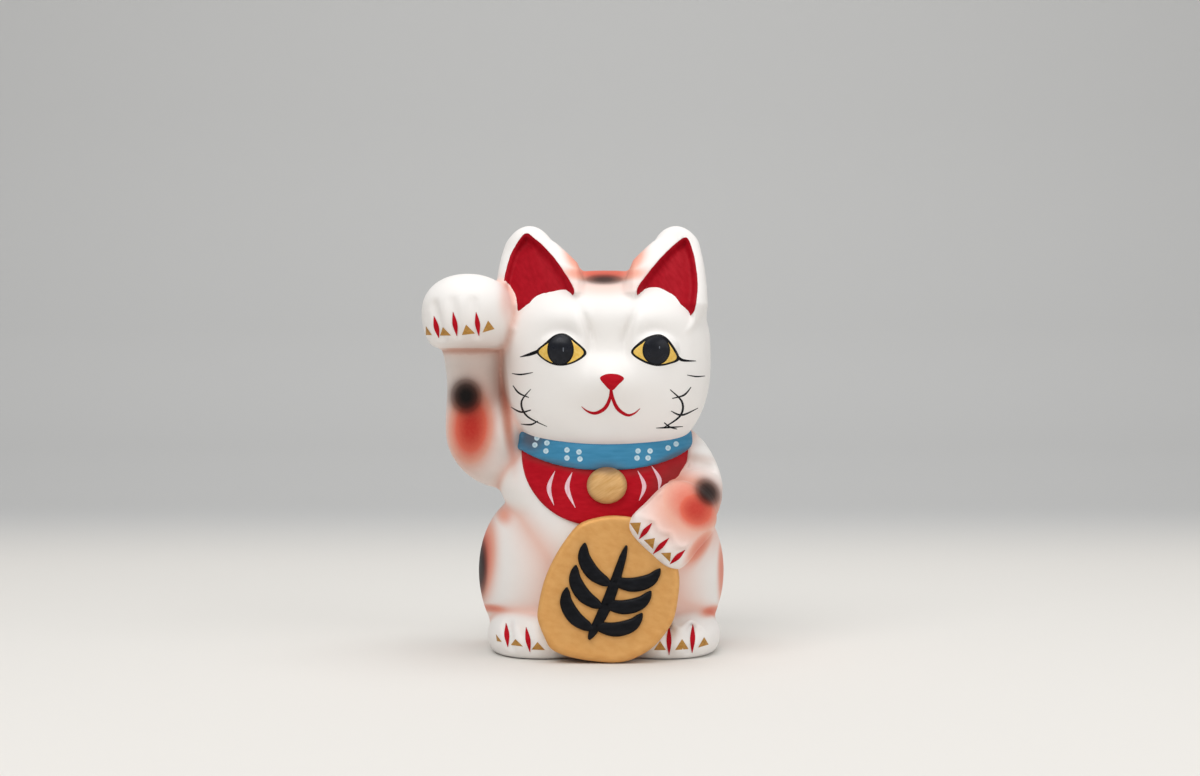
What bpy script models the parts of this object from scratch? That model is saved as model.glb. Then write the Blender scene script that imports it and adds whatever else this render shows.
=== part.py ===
"""Beckoning cat money box, made as a workshop makes it: pottery members pressed in moulds and luted together
with slip, and a rubber stopper in the base. Metres, +Z up. The cat faces -Y and its origin is at the middle of
the base."""

import math

import bmesh
import bpy
from mathutils import Matrix, Vector

MM = 0.001

# Fits
GAP = 0.3 * MM  # line left between two members that meet
WALL = 5.0 * MM  # pressed wall of the head and the body
STEP = 2.5 * MM  # shoulder inside the body that the base slab stops against

# Body without its haunches: floor, hip, chest and neck sections
FLOOR_WIDTH = 92 * MM
FLOOR_FRONT = 43 * MM
FLOOR_BACK = 46 * MM
HIP_HEIGHT = 34 * MM
HIP_WIDTH = 89 * MM
HIP_FRONT = 45 * MM
HIP_BACK = 50 * MM
CHEST_HEIGHT = 72 * MM
CHEST_WIDTH = 86 * MM
CHEST_FRONT = 43 * MM
CHEST_BACK = 46 * MM
NECK_HEIGHT = 106 * MM
NECK_WIDTH = 72 * MM
NECK_FRONT = 37 * MM
NECK_BACK = 35 * MM
BODY_POWER = 2.1  # roundness of a level section, where 2 is an ellipse
PARTING = 2 * MM  # how far behind the middle the two mould halves meet

# Haunches, and the long hind feet under them
HAUNCH_OUT = 32 * MM
HAUNCH_FORWARD = 6 * MM
HAUNCH_HEIGHT = 34 * MM
HAUNCH_LENGTH = 76 * MM
HAUNCH_THICK = 40 * MM
HAUNCH_TALL = 74 * MM
HAUNCH_TURN = math.radians(56)
FOOT_OUT = 28 * MM
FOOT_FORWARD = 9 * MM
FOOT_WIDTH = 55 * MM
FOOT_LENGTH = 79 * MM
FOOT_TALL = 22 * MM  # top of the foot above the table
FOOT_SUNK = 7.5 * MM  # level of its widest section
FOOT_POWER = 2.4

# Base slab and stopper
SLAB_THICK = 7 * MM
STOPPER_BACK = 21 * MM  # stopper axis behind the middle of the base
STOPPER_WIDTH = 28 * MM
STOPPER_TAPER = 1.5 * MM
STOPPER_TALL = 14 * MM
FLANGE_REACH = 3 * MM
FLANGE_THICK = 2.5 * MM
FLANGE_LIFT = 0.7 * MM  # the flange stays this far off the table

# Head
HEAD_WIDTH = 100 * MM
HEAD_FRONT = 50 * MM
HEAD_BACK = 40 * MM
HEAD_SINK = 18 * MM  # how far the head comes down over the neck
HEAD_LOW = 48 * MM  # from its widest level down
HEAD_HIGH = 42 * MM  # from its widest level up
HEAD_POWER = 2.8
HEAD_PLAN_POWER = 2.35
HEAD_CROWN_POWER = 2.1  # roundness of the crown from front to back
SLOT_WIDTH = 36 * MM
SLOT_HEIGHT = 5.4 * MM
SLOT_RISE = 8 * MM  # slot above the widest level of the head

# Ears
EAR_TALL = 46 * MM
EAR_ROOT_OUT = 19 * MM
EAR_TIP_OUT = 36.4 * MM
EAR_ROOT_WIDTH = 57.4 * MM
EAR_ROOT_THICK = 52 * MM
EAR_TIP_BACK = 2 * MM  # ear tip behind the middle of the head
EAR_SLANT = 13 * MM  # middle of the ear's root in front of its tip
EAR_RIM = 3.8 * MM
EAR_HOLLOW = 5 * MM
EAR_CLEAR = 21.5 * MM  # ear tip above the top of the head

# Face
EYE_OUT = 21 * MM
EYE_RISE = 9 * MM  # above the widest level of the head
EYE_WIDTH = 21 * MM
EYE_TALL = 14 * MM
EYE_PROUD = 2.2 * MM
EYE_DEEP = 4.5 * MM
NOSE_DROP = 5.5 * MM  # below the widest level of the head
NOSE_WIDTH = 11 * MM
NOSE_TALL = 7 * MM
NOSE_PROUD = 2 * MM
MUZZLE_DROP = 14 * MM
MUZZLE_WIDTH = 34 * MM
MUZZLE_TALL = 22 * MM
MUZZLE_PROUD = 3.4 * MM
BRIDGE_WIDTH = 14 * MM
BRIDGE_PROUD = 1.8 * MM
BROW_WIDTH = 28 * MM
BROW_PROUD = 1.8 * MM
SOCKET_DEEP = 1.8 * MM

# Collar, bib and bell
COLLAR_DROP = 8.5 * MM  # middle of the band below the top of the neck
COLLAR_TALL = 11 * MM
COLLAR_THICK = 3.6 * MM
COLLAR_SLOPE = 0.15  # the band is lower in front
BIB_WIDTH = 80 * MM
BIB_DROP = 36 * MM
BIB_THICK = 1.6 * MM
BELL_WIDTH = 18.4 * MM
BELL_DOME = 6 * MM
BELL_DROP = 8 * MM  # bell centre below the lower edge of the band

# Coin plaque
COIN_LENGTH = 65.5 * MM
COIN_WIDTH = 59 * MM
COIN_THICK = 8 * MM
COIN_TILT = math.radians(19)
COIN_LEAN = math.radians(5)
COIN_POWER = 2.4
COIN_OUT = 1.5 * MM  # middle of the coin from the middle of the cat
COIN_PROUD = 10 * MM  # front of the coin in front of the belly
COIN_BEVEL = 1.6 * MM
COIN_LIFT = 0.3 * MM  # the coin stays this far off the table
COIN_WORN = 0.8 * MM  # how much of its foot is wiped flat
LEAF_WIDTH = 6.4 * MM
LEAF_PROUD = 1.1 * MM
LEAF_PAIRS = 3

# Raised arm and its paw
ELBOW_BEND = 17 * MM
ARM_DROP = 17 * MM  # shoulder below the top of the neck
ARM_OUT = 61.5 * MM
ARM_THICK = 25.5 * MM
FOREARM_TALL = 58 * MM
ARM_FORWARD = 9 * MM
PAW_WIDTH = 43 * MM
PAW_DEEP = 46 * MM
PAW_TALL = 35 * MM
PAW_OUT = 63.5 * MM
PAW_FORWARD = 19 * MM
PAW_RISE = 9 * MM  # paw centre above the top of the forearm

# Holding arm
ELBOW_OUT = 40 * MM
ELBOW_FORWARD = 12 * MM
ELBOW_DROP = 31 * MM  # below the top of the neck
HOLD_THICK = 30 * MM
HOLD_PAW_LENGTH = 34 * MM
HOLD_PAW_WIDTH = 33 * MM
HOLD_PAW_THICK = 23 * MM
HOLD_PAW_POWER = 2.5

# Tail
TAIL_THICK = 15 * MM
TAIL_TALL = 34 * MM

# Toe slits
SLIT_WIDTH = 2.0 * MM
SLIT_DEEP = 2.2 * MM
SLIT_LENGTH = 11 * MM

SIDES = (-1, 1)  # the cat's right, then its left

# Levels that several members share
HEAD_LEVEL = NECK_HEIGHT - HEAD_SINK + HEAD_LOW
EAR_TIP_LEVEL = HEAD_LEVEL + HEAD_HIGH + EAR_CLEAR
COLLAR_LEVEL = NECK_HEIGHT - COLLAR_DROP
SHOULDER_LEVEL = NECK_HEIGHT - ARM_DROP
WRIST_LEVEL = SHOULDER_LEVEL + FOREARM_TALL


def clear_scene():
    for old in list(bpy.data.objects):
        bpy.data.objects.remove(old)


def paint(name, colour, roughness):
    material = bpy.data.materials.new(name)
    material.use_nodes = True
    shader = material.node_tree.nodes["Principled BSDF"]
    shader.inputs["Base Color"].default_value = (*colour, 1)
    shader.inputs["Roughness"].default_value = roughness
    material.diffuse_color = (*colour, 1)
    return material


def mesh_object(name, vertices, faces):
    """An object whose faces all look outwards."""
    mesh = bpy.data.meshes.new(name)
    mesh.from_pydata([tuple(v) for v in vertices], [], faces)
    shaped = bmesh.new()
    shaped.from_mesh(mesh)
    bmesh.ops.recalc_face_normals(shaped, faces=shaped.faces)
    bmesh.ops.triangulate(shaped, faces=shaped.faces)
    shaped.to_mesh(mesh)
    shaped.free()
    made = bpy.data.objects.new(name, mesh)
    bpy.context.scene.collection.objects.link(made)
    return made


def skin(name, rings):
    """A closed skin through rings of points. A first or last ring of one point closes as a tip."""
    vertices = [point for ring in rings for point in ring]
    starts = [0]
    for ring in rings:
        starts.append(starts[-1] + len(ring))
    faces = []
    for k in range(len(rings) - 1):
        low, high = starts[k], starts[k + 1]
        count = max(len(rings[k]), len(rings[k + 1]))
        for i in range(count):
            j = (i + 1) % count
            if len(rings[k]) == 1:
                faces.append((low, high + j, high + i))
            elif len(rings[k + 1]) == 1:
                faces.append((low + i, low + j, high))
            else:
                faces.append((low + i, low + j, high + j, high + i))
    if len(rings[0]) > 1:
        faces.append(tuple(range(len(rings[0])))[::-1])
    if len(rings[-1]) > 1:
        faces.append(tuple(range(starts[-2], starts[-1])))
    return mesh_object(name, vertices, faces)


def rounded(value, power):
    """A cosine or sine bent to a superellipse of this power."""
    return math.copysign(abs(value) ** (2 / power), value)


def section(level, half_width, front, back, power, count, crowd=0.0):
    """A level ring that reaches front towards -Y and back towards +Y. Crowd packs its points to the front."""
    ring = []
    for i in range(count):
        turn = 2 * math.pi * i / count
        turn -= crowd * math.sin(turn)
        side = rounded(math.sin(turn), power)
        ahead = rounded(math.cos(turn), power)
        ring.append(Vector((half_width * side, -(front if ahead > 0 else back) * ahead, level)))
    return ring


def eased(stations, at):
    """The row of a table at a level: a smooth curve through its rows, straight past its ends."""
    rows = [stations[0], *stations, stations[-1]]
    k = 1
    while k < len(stations) - 1 and at > stations[k][0]:
        k += 1
    before, low, high, after = rows[k - 1], rows[k], rows[k + 1], rows[min(k + 2, len(rows) - 1)]
    span = high[0] - low[0]
    t = (at - low[0]) / span
    found = []
    for c in range(1, len(low)):
        slope_low = (high[c] - before[c]) / (high[0] - before[0]) * span
        slope_high = (after[c] - low[c]) / (after[0] - low[0]) * span
        rise = high[c] - low[c]
        if t < 0:
            found.append(low[c] + slope_low * t)
        elif t > 1:
            found.append(high[c] + slope_high * (t - 1))
        else:
            bend = t * t * (3 - 2 * t) * rise
            found.append(low[c] + bend + t * (1 - t) ** 2 * slope_low - t * t * (1 - t) * slope_high)
    return found


def curve_through(points, steps):
    """Points spread along a smooth curve through the given ones, each row carried along whole."""
    stations = [(k, *point) for k, point in enumerate(points)]
    last = len(points) - 1
    return [eased(stations, last * i / steps) for i in range(steps + 1)]


def cut(target, operation, *tools):
    """Joins or cuts the target with each tool and drops the tool. EXACT left open slivers on these curves."""
    for tool in tools:
        modifier = target.modifiers.new("Fit", "BOOLEAN")
        modifier.operation = operation
        modifier.solver = "MANIFOLD"
        modifier.object = tool
        graph = bpy.context.evaluated_depsgraph_get()
        fitted = bpy.data.meshes.new_from_object(target.evaluated_get(graph))
        target.modifiers.clear()
        shaped = bmesh.new()
        shaped.from_mesh(fitted)
        bmesh.ops.triangulate(shaped, faces=shaped.faces)
        shaped.to_mesh(fitted)
        shaped.free()
        target.data = fitted
        bpy.data.objects.remove(tool)
    return target


def box(name, low, high):
    corners = [(x, y, z) for z in (low[2], high[2]) for y in (low[1], high[1]) for x in (low[0], high[0])]
    faces = [(0, 1, 3, 2), (4, 6, 7, 5), (0, 4, 5, 1), (2, 3, 7, 6), (0, 2, 6, 4), (1, 5, 7, 3)]
    return mesh_object(name, corners, faces)


def ellipsoid(name, centre, halves, axes=Matrix.Identity(3), grow=0.0, count=20, rows=12, power=2.0):
    """An ellipsoid with its half lengths along the columns of axes."""
    a, b, c = (half + grow for half in halves)
    rings = [[centre + axes @ Vector((0, 0, -c))]]
    for k in range(1, rows):
        lift = -math.pi / 2 + math.pi * k / rows
        level = c * rounded(math.sin(lift), power)
        share = rounded(math.cos(lift), power)
        flat = section(level, a * share, b * share, b * share, power, count)
        rings.append([centre + axes @ point for point in flat])
    rings.append([centre + axes @ Vector((0, 0, c))])
    return skin(name, rings)


def limb(name, points, steps, upright, grow=0.0, count=20):
    """A limb along a curve. Each row is x, y, z and the half widths across and along upright."""
    rows = curve_through(points, steps)
    spine = [Vector(row[:3]) for row in rows]
    rings = []
    for k, row in enumerate(rows):
        along = (spine[min(k + 1, steps)] - spine[max(k - 1, 0)]).normalized()
        across = along.cross(upright).normalized()
        over = across.cross(along)
        ring = []
        for i in range(count):
            turn = 2 * math.pi * i / count
            offset = across * (row[3] + grow) * math.cos(turn) + over * (row[4] + grow) * math.sin(turn)
            ring.append(spine[k] + offset)
        if k == 0:
            rings.append([spine[0] - along * grow])
        rings.append(ring)
        if k == steps:
            rings.append([spine[k] + along * grow])
    return skin(name, rings)


def lathe(name, profile, count=28):
    """A round piece about its own Z axis. The profile runs from the axis below to the axis above."""
    rings = []
    for radius, level in profile:
        if radius == 0:
            rings.append([Vector((0, 0, level))])
        else:
            rings.append(section(level, radius, radius, radius, 2, count))
    return skin(name, rings)


BODY_STATIONS = (
    (0, FLOOR_WIDTH / 2, FLOOR_FRONT, FLOOR_BACK),
    (HIP_HEIGHT, HIP_WIDTH / 2, HIP_FRONT, HIP_BACK),
    (CHEST_HEIGHT, CHEST_WIDTH / 2, CHEST_FRONT, CHEST_BACK),
    (NECK_HEIGHT, NECK_WIDTH / 2, NECK_FRONT, NECK_BACK),
)


def trunk(name, grow=0.0, bottom=0.0, top=NECK_HEIGHT, count=42, rows=12):
    """The body without haunches and feet, between two levels."""
    rings = []
    for k in range(rows + 1):
        level = bottom + (top - bottom) * k / rows
        half, front, back = eased(BODY_STATIONS, level)
        rings.append(section(level, half + grow, front + grow, back + grow, BODY_POWER, count))
    return skin(name, rings)


def belly_front(level, out):
    """How far the trunk reaches towards -Y at a level, out from the middle."""
    half, front, _ = eased(BODY_STATIONS, level)
    share = max(0.0, 1 - abs(out / half) ** BODY_POWER)
    return front * share ** (1 / BODY_POWER)


def haunch(side, grow=0.0):
    inward = Vector((-side * math.cos(HAUNCH_TURN), -math.sin(HAUNCH_TURN), 0))
    outward = Vector((side * math.sin(HAUNCH_TURN), -math.cos(HAUNCH_TURN), 0))
    axes = Matrix((inward, outward, Vector((0, 0, 1)))).transposed()
    centre = Vector((side * HAUNCH_OUT, -HAUNCH_FORWARD, HAUNCH_HEIGHT))
    halves = (HAUNCH_LENGTH / 2, HAUNCH_THICK / 2, HAUNCH_TALL / 2)
    return ellipsoid("haunch", centre, halves, axes, grow, 20, 12)


def foot(side, grow=0.0):
    """A long hind foot, wiped flat under it by the floor."""
    centre = Vector((side * FOOT_OUT, -FOOT_FORWARD, FOOT_SUNK))
    halves = (FOOT_WIDTH / 2, FOOT_LENGTH / 2, FOOT_TALL - FOOT_SUNK)
    return ellipsoid("foot", centre, halves, grow=grow, count=24, rows=12, power=FOOT_POWER)


def under_floor(lift=0.0):
    reach = 2 * (FLOOR_WIDTH + FOOT_LENGTH)
    return box("floor", (-reach, -reach, -reach), (reach, reach, lift))


def trunk_tool(grow):
    return trunk("trunk", grow, -grow, NECK_HEIGHT + grow)


def body_tools(grow):
    """The whole outside of the body as separate tools, grown by a fit."""
    tools = [trunk_tool(grow)]
    for side in SIDES:
        tools += [haunch(side, grow), foot(side, grow)]
    return tools


def slit(centre, along, outward, deep=SLIT_DEEP):
    """A thin lens that cuts the line between two toes, sunk into the surface at its centre."""
    across = along.cross(outward).normalized()
    out = across.cross(along).normalized()
    axes = Matrix((across, out, along)).transposed()
    return ellipsoid("slit", centre, (SLIT_WIDTH / 2, deep, SLIT_LENGTH / 2), axes, 0, 8, 6)


def foot_slits(side):
    """Two lines on the front of a foot."""
    tools = []
    for turn in (math.radians(-4), math.radians(24)):
        across = math.sin(turn)
        ahead = (1 - abs(across) ** FOOT_POWER) ** (1 / FOOT_POWER)
        x = side * (FOOT_OUT + across * FOOT_WIDTH / 2)
        y = -FOOT_FORWARD - ahead * FOOT_LENGTH / 2
        out = Vector((side * math.sin(turn), -math.cos(turn), 0))
        tools.append(slit(Vector((x, y, FOOT_SUNK)), Vector((0, 0, 1)), out))
    return tools


def halves(name, whole, parting):
    """The front and the back mould half of a hollow member, cut at a plane across Y."""
    reach = 0.5
    pieces = []
    for part, low, high in (("front", -reach, parting - GAP / 2), ("back", parting + GAP / 2, reach)):
        piece = whole.copy()
        piece.data = whole.data.copy()
        piece.name = f"{name}_{part}_half"
        bpy.context.scene.collection.objects.link(piece)
        pieces.append(cut(piece, "INTERSECT", box("mould", (-reach, low, -reach), (reach, high, reach))))
    bpy.data.objects.remove(whole)
    return pieces


def make_body():
    body = trunk("body")
    for side in SIDES:
        cut(body, "UNION", haunch(side), foot(side))
    cut(body, "DIFFERENCE", under_floor())
    seat = SLAB_THICK + GAP
    cut(body, "DIFFERENCE", trunk("chamber", -WALL - STEP, -seat, NECK_HEIGHT + seat, 28, 8))
    cut(body, "DIFFERENCE", trunk("slab_seat", -WALL, -seat, seat, 40, 1))
    for side in SIDES:
        cut(body, "DIFFERENCE", *foot_slits(side))
    return halves("body", body, PARTING)


def make_slab():
    slab = trunk("base_slab", -WALL - GAP, 0, SLAB_THICK, 40, 1)
    hole = STOPPER_WIDTH / 2 + GAP
    recess = hole + FLANGE_REACH
    ledge = FLANGE_LIFT + FLANGE_THICK + GAP
    above = 2 * SLAB_THICK
    stepped = ((0, -ledge), (recess, -ledge), (recess, ledge), (hole, ledge), (hole, above), (0, above))
    tool = lathe("bore", stepped)
    tool.location = (0, STOPPER_BACK, 0)
    return cut(slab, "DIFFERENCE", tool)


def make_stopper():
    """A bung with a flange and a finger hollow under it. Its origin is on its axis at the table."""
    plug = STOPPER_WIDTH / 2
    flange = plug + FLANGE_REACH
    under, over = FLANGE_LIFT, FLANGE_LIFT + FLANGE_THICK
    top = FLANGE_LIFT + STOPPER_TALL
    hollow = 0.45 * plug
    round_over = 0.3 * FLANGE_THICK
    profile = (
        (0, under + 0.6 * FLANGE_THICK),
        (hollow, under + 0.6 * FLANGE_THICK),
        (1.2 * hollow, under),
        (flange - round_over, under),
        (flange, under + round_over),
        (flange, over),
        (plug, over),
        (plug, over + 0.3 * (top - over)),
        (plug - STOPPER_TAPER, top - round_over),
        (plug - STOPPER_TAPER - round_over, top),
        (0, top),
    )
    stopper = lathe("stopper", profile)
    stopper.location = (0, STOPPER_BACK, 0)
    return stopper


def bump(x, z, out, rise, wide, tall):
    """A soft hill on the face, the same on both sides, measured from the widest level of the head."""
    return math.exp(-(((abs(x) - out) / wide) ** 2) - ((z - HEAD_LEVEL - rise) / tall) ** 2)


def relief(x, z):
    """How far the face stands out of the plain head: muzzle, bridge and brows, less the eye hollows."""
    muzzle = MUZZLE_PROUD * bump(x, z, 0, -MUZZLE_DROP, MUZZLE_WIDTH / 2, MUZZLE_TALL / 2)
    bridge = BRIDGE_PROUD * bump(x, z, 0, 0.7 * EYE_RISE, BRIDGE_WIDTH / 2, 0.9 * EYE_TALL)
    brow = BROW_PROUD * bump(x, z, EYE_OUT, EYE_RISE + EYE_TALL, BROW_WIDTH / 2, 0.6 * EYE_TALL)
    hollow = SOCKET_DEEP * bump(x, z, EYE_OUT, EYE_RISE, 0.7 * EYE_WIDTH, 0.8 * EYE_TALL)
    return muzzle + bridge + brow - hollow


def shrunk(share, power):
    """What is left of a half size at this share of the way to its end."""
    return max(0.0, 1 - abs(share) ** power) ** (1 / power)


def head_shares(level, grow=0.0):
    """Width and depth of a level section of the head against its widest one."""
    tall = (HEAD_HIGH if level > HEAD_LEVEL else HEAD_LOW) + grow
    up = (level - HEAD_LEVEL) / tall
    return shrunk(up, HEAD_POWER), shrunk(up, HEAD_CROWN_POWER if up > 0 else HEAD_POWER)


def face_at(x, z):
    """The point of the face at x and z."""
    wide, deep = head_shares(z)
    side = shrunk(2 * x / (HEAD_WIDTH * wide), HEAD_PLAN_POWER)
    return Vector((x, -HEAD_FRONT * deep * side - relief(x, z), z))


def skull(name, grow=0.0, count=40, rows=20, carved=True):
    """The head without ears."""
    rings = [[Vector((0, 0, HEAD_LEVEL - HEAD_LOW - grow))]]
    half, front, back = HEAD_WIDTH / 2 + grow, HEAD_FRONT + grow, HEAD_BACK + grow
    for k in range(1, rows):
        lift = -math.pi / 2 + math.pi * k / rows
        tall = (HEAD_HIGH if lift > 0 else HEAD_LOW) + grow
        level = HEAD_LEVEL + tall * rounded(math.sin(lift), HEAD_POWER)
        wide, deep = head_shares(level, grow)
        ring = section(level, half * wide, front * deep, back * deep, HEAD_PLAN_POWER, count, 0.45)
        for point in ring:
            if carved and point.y < 0:
                facing = min(1.0, -point.y / (0.4 * HEAD_FRONT))
                point.y -= facing * relief(point.x, point.z)
        rings.append(ring)
    rings.append([Vector((0, 0, HEAD_LEVEL + HEAD_HIGH + grow))])
    return skin(name, rings)


def ear(side, grow=0.0, hollow=False):
    """An ear as a stack of ovals that lean outwards to a round tip, or the tool that hollows its front."""
    root = EAR_TIP_LEVEL - EAR_TALL
    rows = 12
    rings = []
    for k in range(rows + 1):
        t = 1 - (1 - k / rows) ** 2
        half = EAR_ROOT_WIDTH / 2 * (1 - t) ** 0.55 + grow
        deep = EAR_ROOT_THICK / 2 * (1 - t) ** 0.65 + grow
        out = EAR_ROOT_OUT + (EAR_TIP_OUT - EAR_ROOT_OUT) * t
        centre = Vector((side * out, EAR_TIP_BACK - EAR_SLANT * (1 - t), 0))
        if hollow:
            centre.y -= deep
            half -= EAR_RIM
            deep = min(EAR_HOLLOW, 0.6 * deep)
        level = root + t * (EAR_TALL + grow)
        if k == rows or half < 0.2 * EAR_RIM:
            rings.append([centre + Vector((0, 0, level))])
            break
        rings.append([point + centre for point in section(level, half, deep, deep, 2, 22)])
    return skin("ear", rings)


def make_head():
    head = skull("head")
    for side in SIDES:
        cut(head, "UNION", cut(ear(side), "DIFFERENCE", ear(side, hollow=True)))
    for side in SIDES:
        x, z = side * EYE_OUT, HEAD_LEVEL + EYE_RISE
        near, far = face_at(0.6 * x, z), face_at(1.4 * x, z)
        turn = Matrix.Rotation(side * math.atan2(far.y - near.y, abs(far.x - near.x)), 3, "Z")
        centre = face_at(x, z) + turn @ Vector((0, EYE_DEEP - EYE_PROUD, 0))
        cut(head, "UNION", ellipsoid("eye", centre, (EYE_WIDTH / 2, EYE_DEEP, EYE_TALL / 2), turn, 0, 16, 8))
    tip = face_at(0, HEAD_LEVEL - NOSE_DROP)
    nose = (NOSE_WIDTH / 2, 3 * NOSE_PROUD, NOSE_TALL / 2)
    sunk = Vector((0, 2 * NOSE_PROUD, 0))
    cut(head, "UNION", ellipsoid("nose", tip + sunk, nose, count=14, rows=8))
    chamber = skull("chamber", -WALL, 24, 12, carved=False)
    below = NECK_HEIGHT - WALL
    cut(chamber, "DIFFERENCE", box("below", (-1, -1, -1), (1, 1, below)))
    cut(head, "DIFFERENCE", chamber, trunk_tool(GAP), collar(GAP))
    level = HEAD_LEVEL + SLOT_RISE
    low = (-SLOT_WIDTH / 2, HEAD_BACK - 3 * WALL, level - SLOT_HEIGHT / 2)
    high = (SLOT_WIDTH / 2, HEAD_BACK + 3 * WALL, level + SLOT_HEIGHT / 2)
    cut(head, "DIFFERENCE", box("slot", low, high))
    return halves("head", head, PARTING)


def sloped_section(level, out, count):
    """A ring round the trunk that follows its surface, lower in front by the slope of the collar."""
    half, front, back = eased(BODY_STATIONS, level)
    ring = section(level, half + out, front + out, back + out, BODY_POWER, count)
    sloped = []
    for point in ring:
        place = point.copy()
        for _ in range(3):
            place.z = level + COLLAR_SLOPE * place.y
            half_here, front_here, back_here = eased(BODY_STATIONS, place.z)
            place.x = point.x * (half_here + out) / (half + out)
            deep, deep_here = (front, front_here) if point.y < 0 else (back, back_here)
            place.y = point.y * (deep_here + out) / (deep + out)
        sloped.append(place)
    return sloped


def collar(grow=0.0, taller=0.0):
    """The band round the neck, lower in front. Its inside clears the neck."""
    outer, inner = [], []
    for over in (-COLLAR_TALL / 2 - grow, 0, COLLAR_TALL / 2 + grow + taller):
        swell = COLLAR_THICK * (1.0 if over == 0 else 0.8)
        for rings, out in ((outer, GAP + swell + grow), (inner, GAP - grow)):
            rings.append(sloped_section(COLLAR_LEVEL + over, out, 44))
    count = 44
    loops = outer + inner[::-1]
    vertices = [point for ring in loops for point in ring]
    faces = []
    for k in range(len(loops)):
        low, high = k * count, (k + 1) % len(loops) * count
        for i in range(count):
            j = (i + 1) % count
            faces.append((low + i, low + j, high + j, high + i))
    return mesh_object("collar_band", vertices, faces)


def bib_outline(grow=0.0):
    """A prism through the body with the outline of the bib: the lower half of an oval hung from the band."""
    count = 24
    top = COLLAR_LEVEL
    rings = []
    for y in (-2 * CHEST_FRONT, 0):
        ring = [Vector((-BIB_WIDTH / 2 - grow, y, top)), Vector((BIB_WIDTH / 2 + grow, y, top))]
        for i in range(1, count):
            turn = math.pi * i / count
            x = (BIB_WIDTH / 2 + grow) * math.cos(turn)
            ring.append(Vector((x, y, top - (BIB_DROP + grow) * math.sin(turn))))
        rings.append(ring)
    return skin("outline", rings)


def bib_blank(grow=0.0):
    """The bib before its inside is cut to the breast."""
    blank = trunk("bib", GAP + BIB_THICK + grow)
    return cut(blank, "INTERSECT", bib_outline(grow))


def make_bib():
    return cut(bib_blank(), "DIFFERENCE", trunk_tool(GAP), collar(GAP, COLLAR_TALL))


def bell_place():
    level = COLLAR_LEVEL - COLLAR_SLOPE * CHEST_FRONT - COLLAR_TALL / 2 - BELL_DROP
    return Vector((0, -belly_front(level, 0) - 2 * GAP - BIB_THICK, level))


def make_bell():
    """A domed bell, lying back with the breast."""
    half = BELL_WIDTH / 2
    profile = [(0, -BELL_DOME), (half, -BELL_DOME), (half, 0.25 * BELL_DOME)]
    for k in range(1, 6):
        turn = math.pi / 2 * k / 6
        profile.append((half * math.cos(turn), 0.25 * BELL_DOME + 0.75 * BELL_DOME * math.sin(turn)))
    profile.append((0, BELL_DOME))
    bell = lathe("bell", profile, 28)
    bell.location = bell_place()
    bell.rotation_euler = (math.pi / 2, 0, 0)
    bpy.context.view_layer.update()
    return cut(bell, "DIFFERENCE", trunk("trunk", 2 * GAP + BIB_THICK), collar(GAP))


def coin_frame():
    """Where the coin stands: its axes are across, out of its face towards -Y, and up its length."""
    turn = Matrix.Rotation(-COIN_LEAN, 3, "X") @ Matrix.Rotation(COIN_TILT, 3, "Y")
    level = COIN_LIFT - COIN_WORN - min((turn @ point).z for point in coin_ring(0, 0))
    centre = Vector((COIN_OUT, -belly_front(level, 0) - COIN_PROUD, level))
    return Matrix.Translation(centre) @ turn.to_4x4()


def coin_ring(y, inset, count=40):
    ring = []
    for i in range(count):
        turn = 2 * math.pi * i / count
        x = (COIN_WIDTH / 2 - inset) * rounded(math.cos(turn), COIN_POWER)
        z = (COIN_LENGTH / 2 - inset) * rounded(math.sin(turn), COIN_POWER)
        ring.append(Vector((x, y, z)))
    return ring


def coin_blank(grow=0.0):
    """The coin without its relief. Its face is at y = 0 of its own frame, and it reaches into the belly."""
    back = coin_ring(2 * COIN_THICK + grow, -grow)
    shoulder = coin_ring(COIN_BEVEL, -grow)
    face = coin_ring(-grow, COIN_BEVEL - grow)
    blank = skin("koban_coin", [back, shoulder, face])
    blank.matrix_world = coin_frame()
    bpy.context.view_layer.update()
    return blank


def leaf(points):
    """One raised stroke of the ornament. Each row is across and up the coin, and the half width there."""
    rows = [(across, 0.1 * LEAF_PROUD, up, half, 1.1 * LEAF_PROUD) for across, up, half in points]
    stroke = limb("leaf", rows, 6, Vector((0, 1, 0)), 0, 8)
    stroke.matrix_world = coin_frame()
    bpy.context.view_layer.update()
    return stroke


def coin_ornament():
    """A plain ear of rice up the coin: a stem with pairs of leaves."""
    reach, tall, half = 0.3 * COIN_WIDTH, 0.36 * COIN_LENGTH, LEAF_WIDTH / 2
    stem = ((0, -tall, 0.5 * half), (0.09 * reach, -0.2 * tall, 0.8 * half), (0, 0.9 * tall, 0.4 * half))
    strokes = [leaf(stem)]
    for k in range(LEAF_PAIRS):
        for side in SIDES:
            foot = -0.8 * tall + 0.45 * tall * k + (0.08 * tall if side > 0 else 0)
            bend = (side * 0.5 * reach, foot + 0.07 * tall, half)
            rise = (side * 0.87 * reach, foot + 0.28 * tall, 0.9 * half)
            tip = (side * reach, foot + 0.55 * tall, 0.3 * half)
            strokes.append(leaf(((0, foot, 0.6 * half), bend, rise, tip)))
    ornament = cut(strokes[0], "UNION", *strokes[1:])
    return cut(ornament, "DIFFERENCE", hold_form(GAP))


def make_coin():
    coin = coin_blank()
    cut(coin, "UNION", coin_ornament())
    return cut(coin, "DIFFERENCE", *body_tools(GAP), bib_blank(GAP), under_floor(COIN_LIFT))


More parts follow.
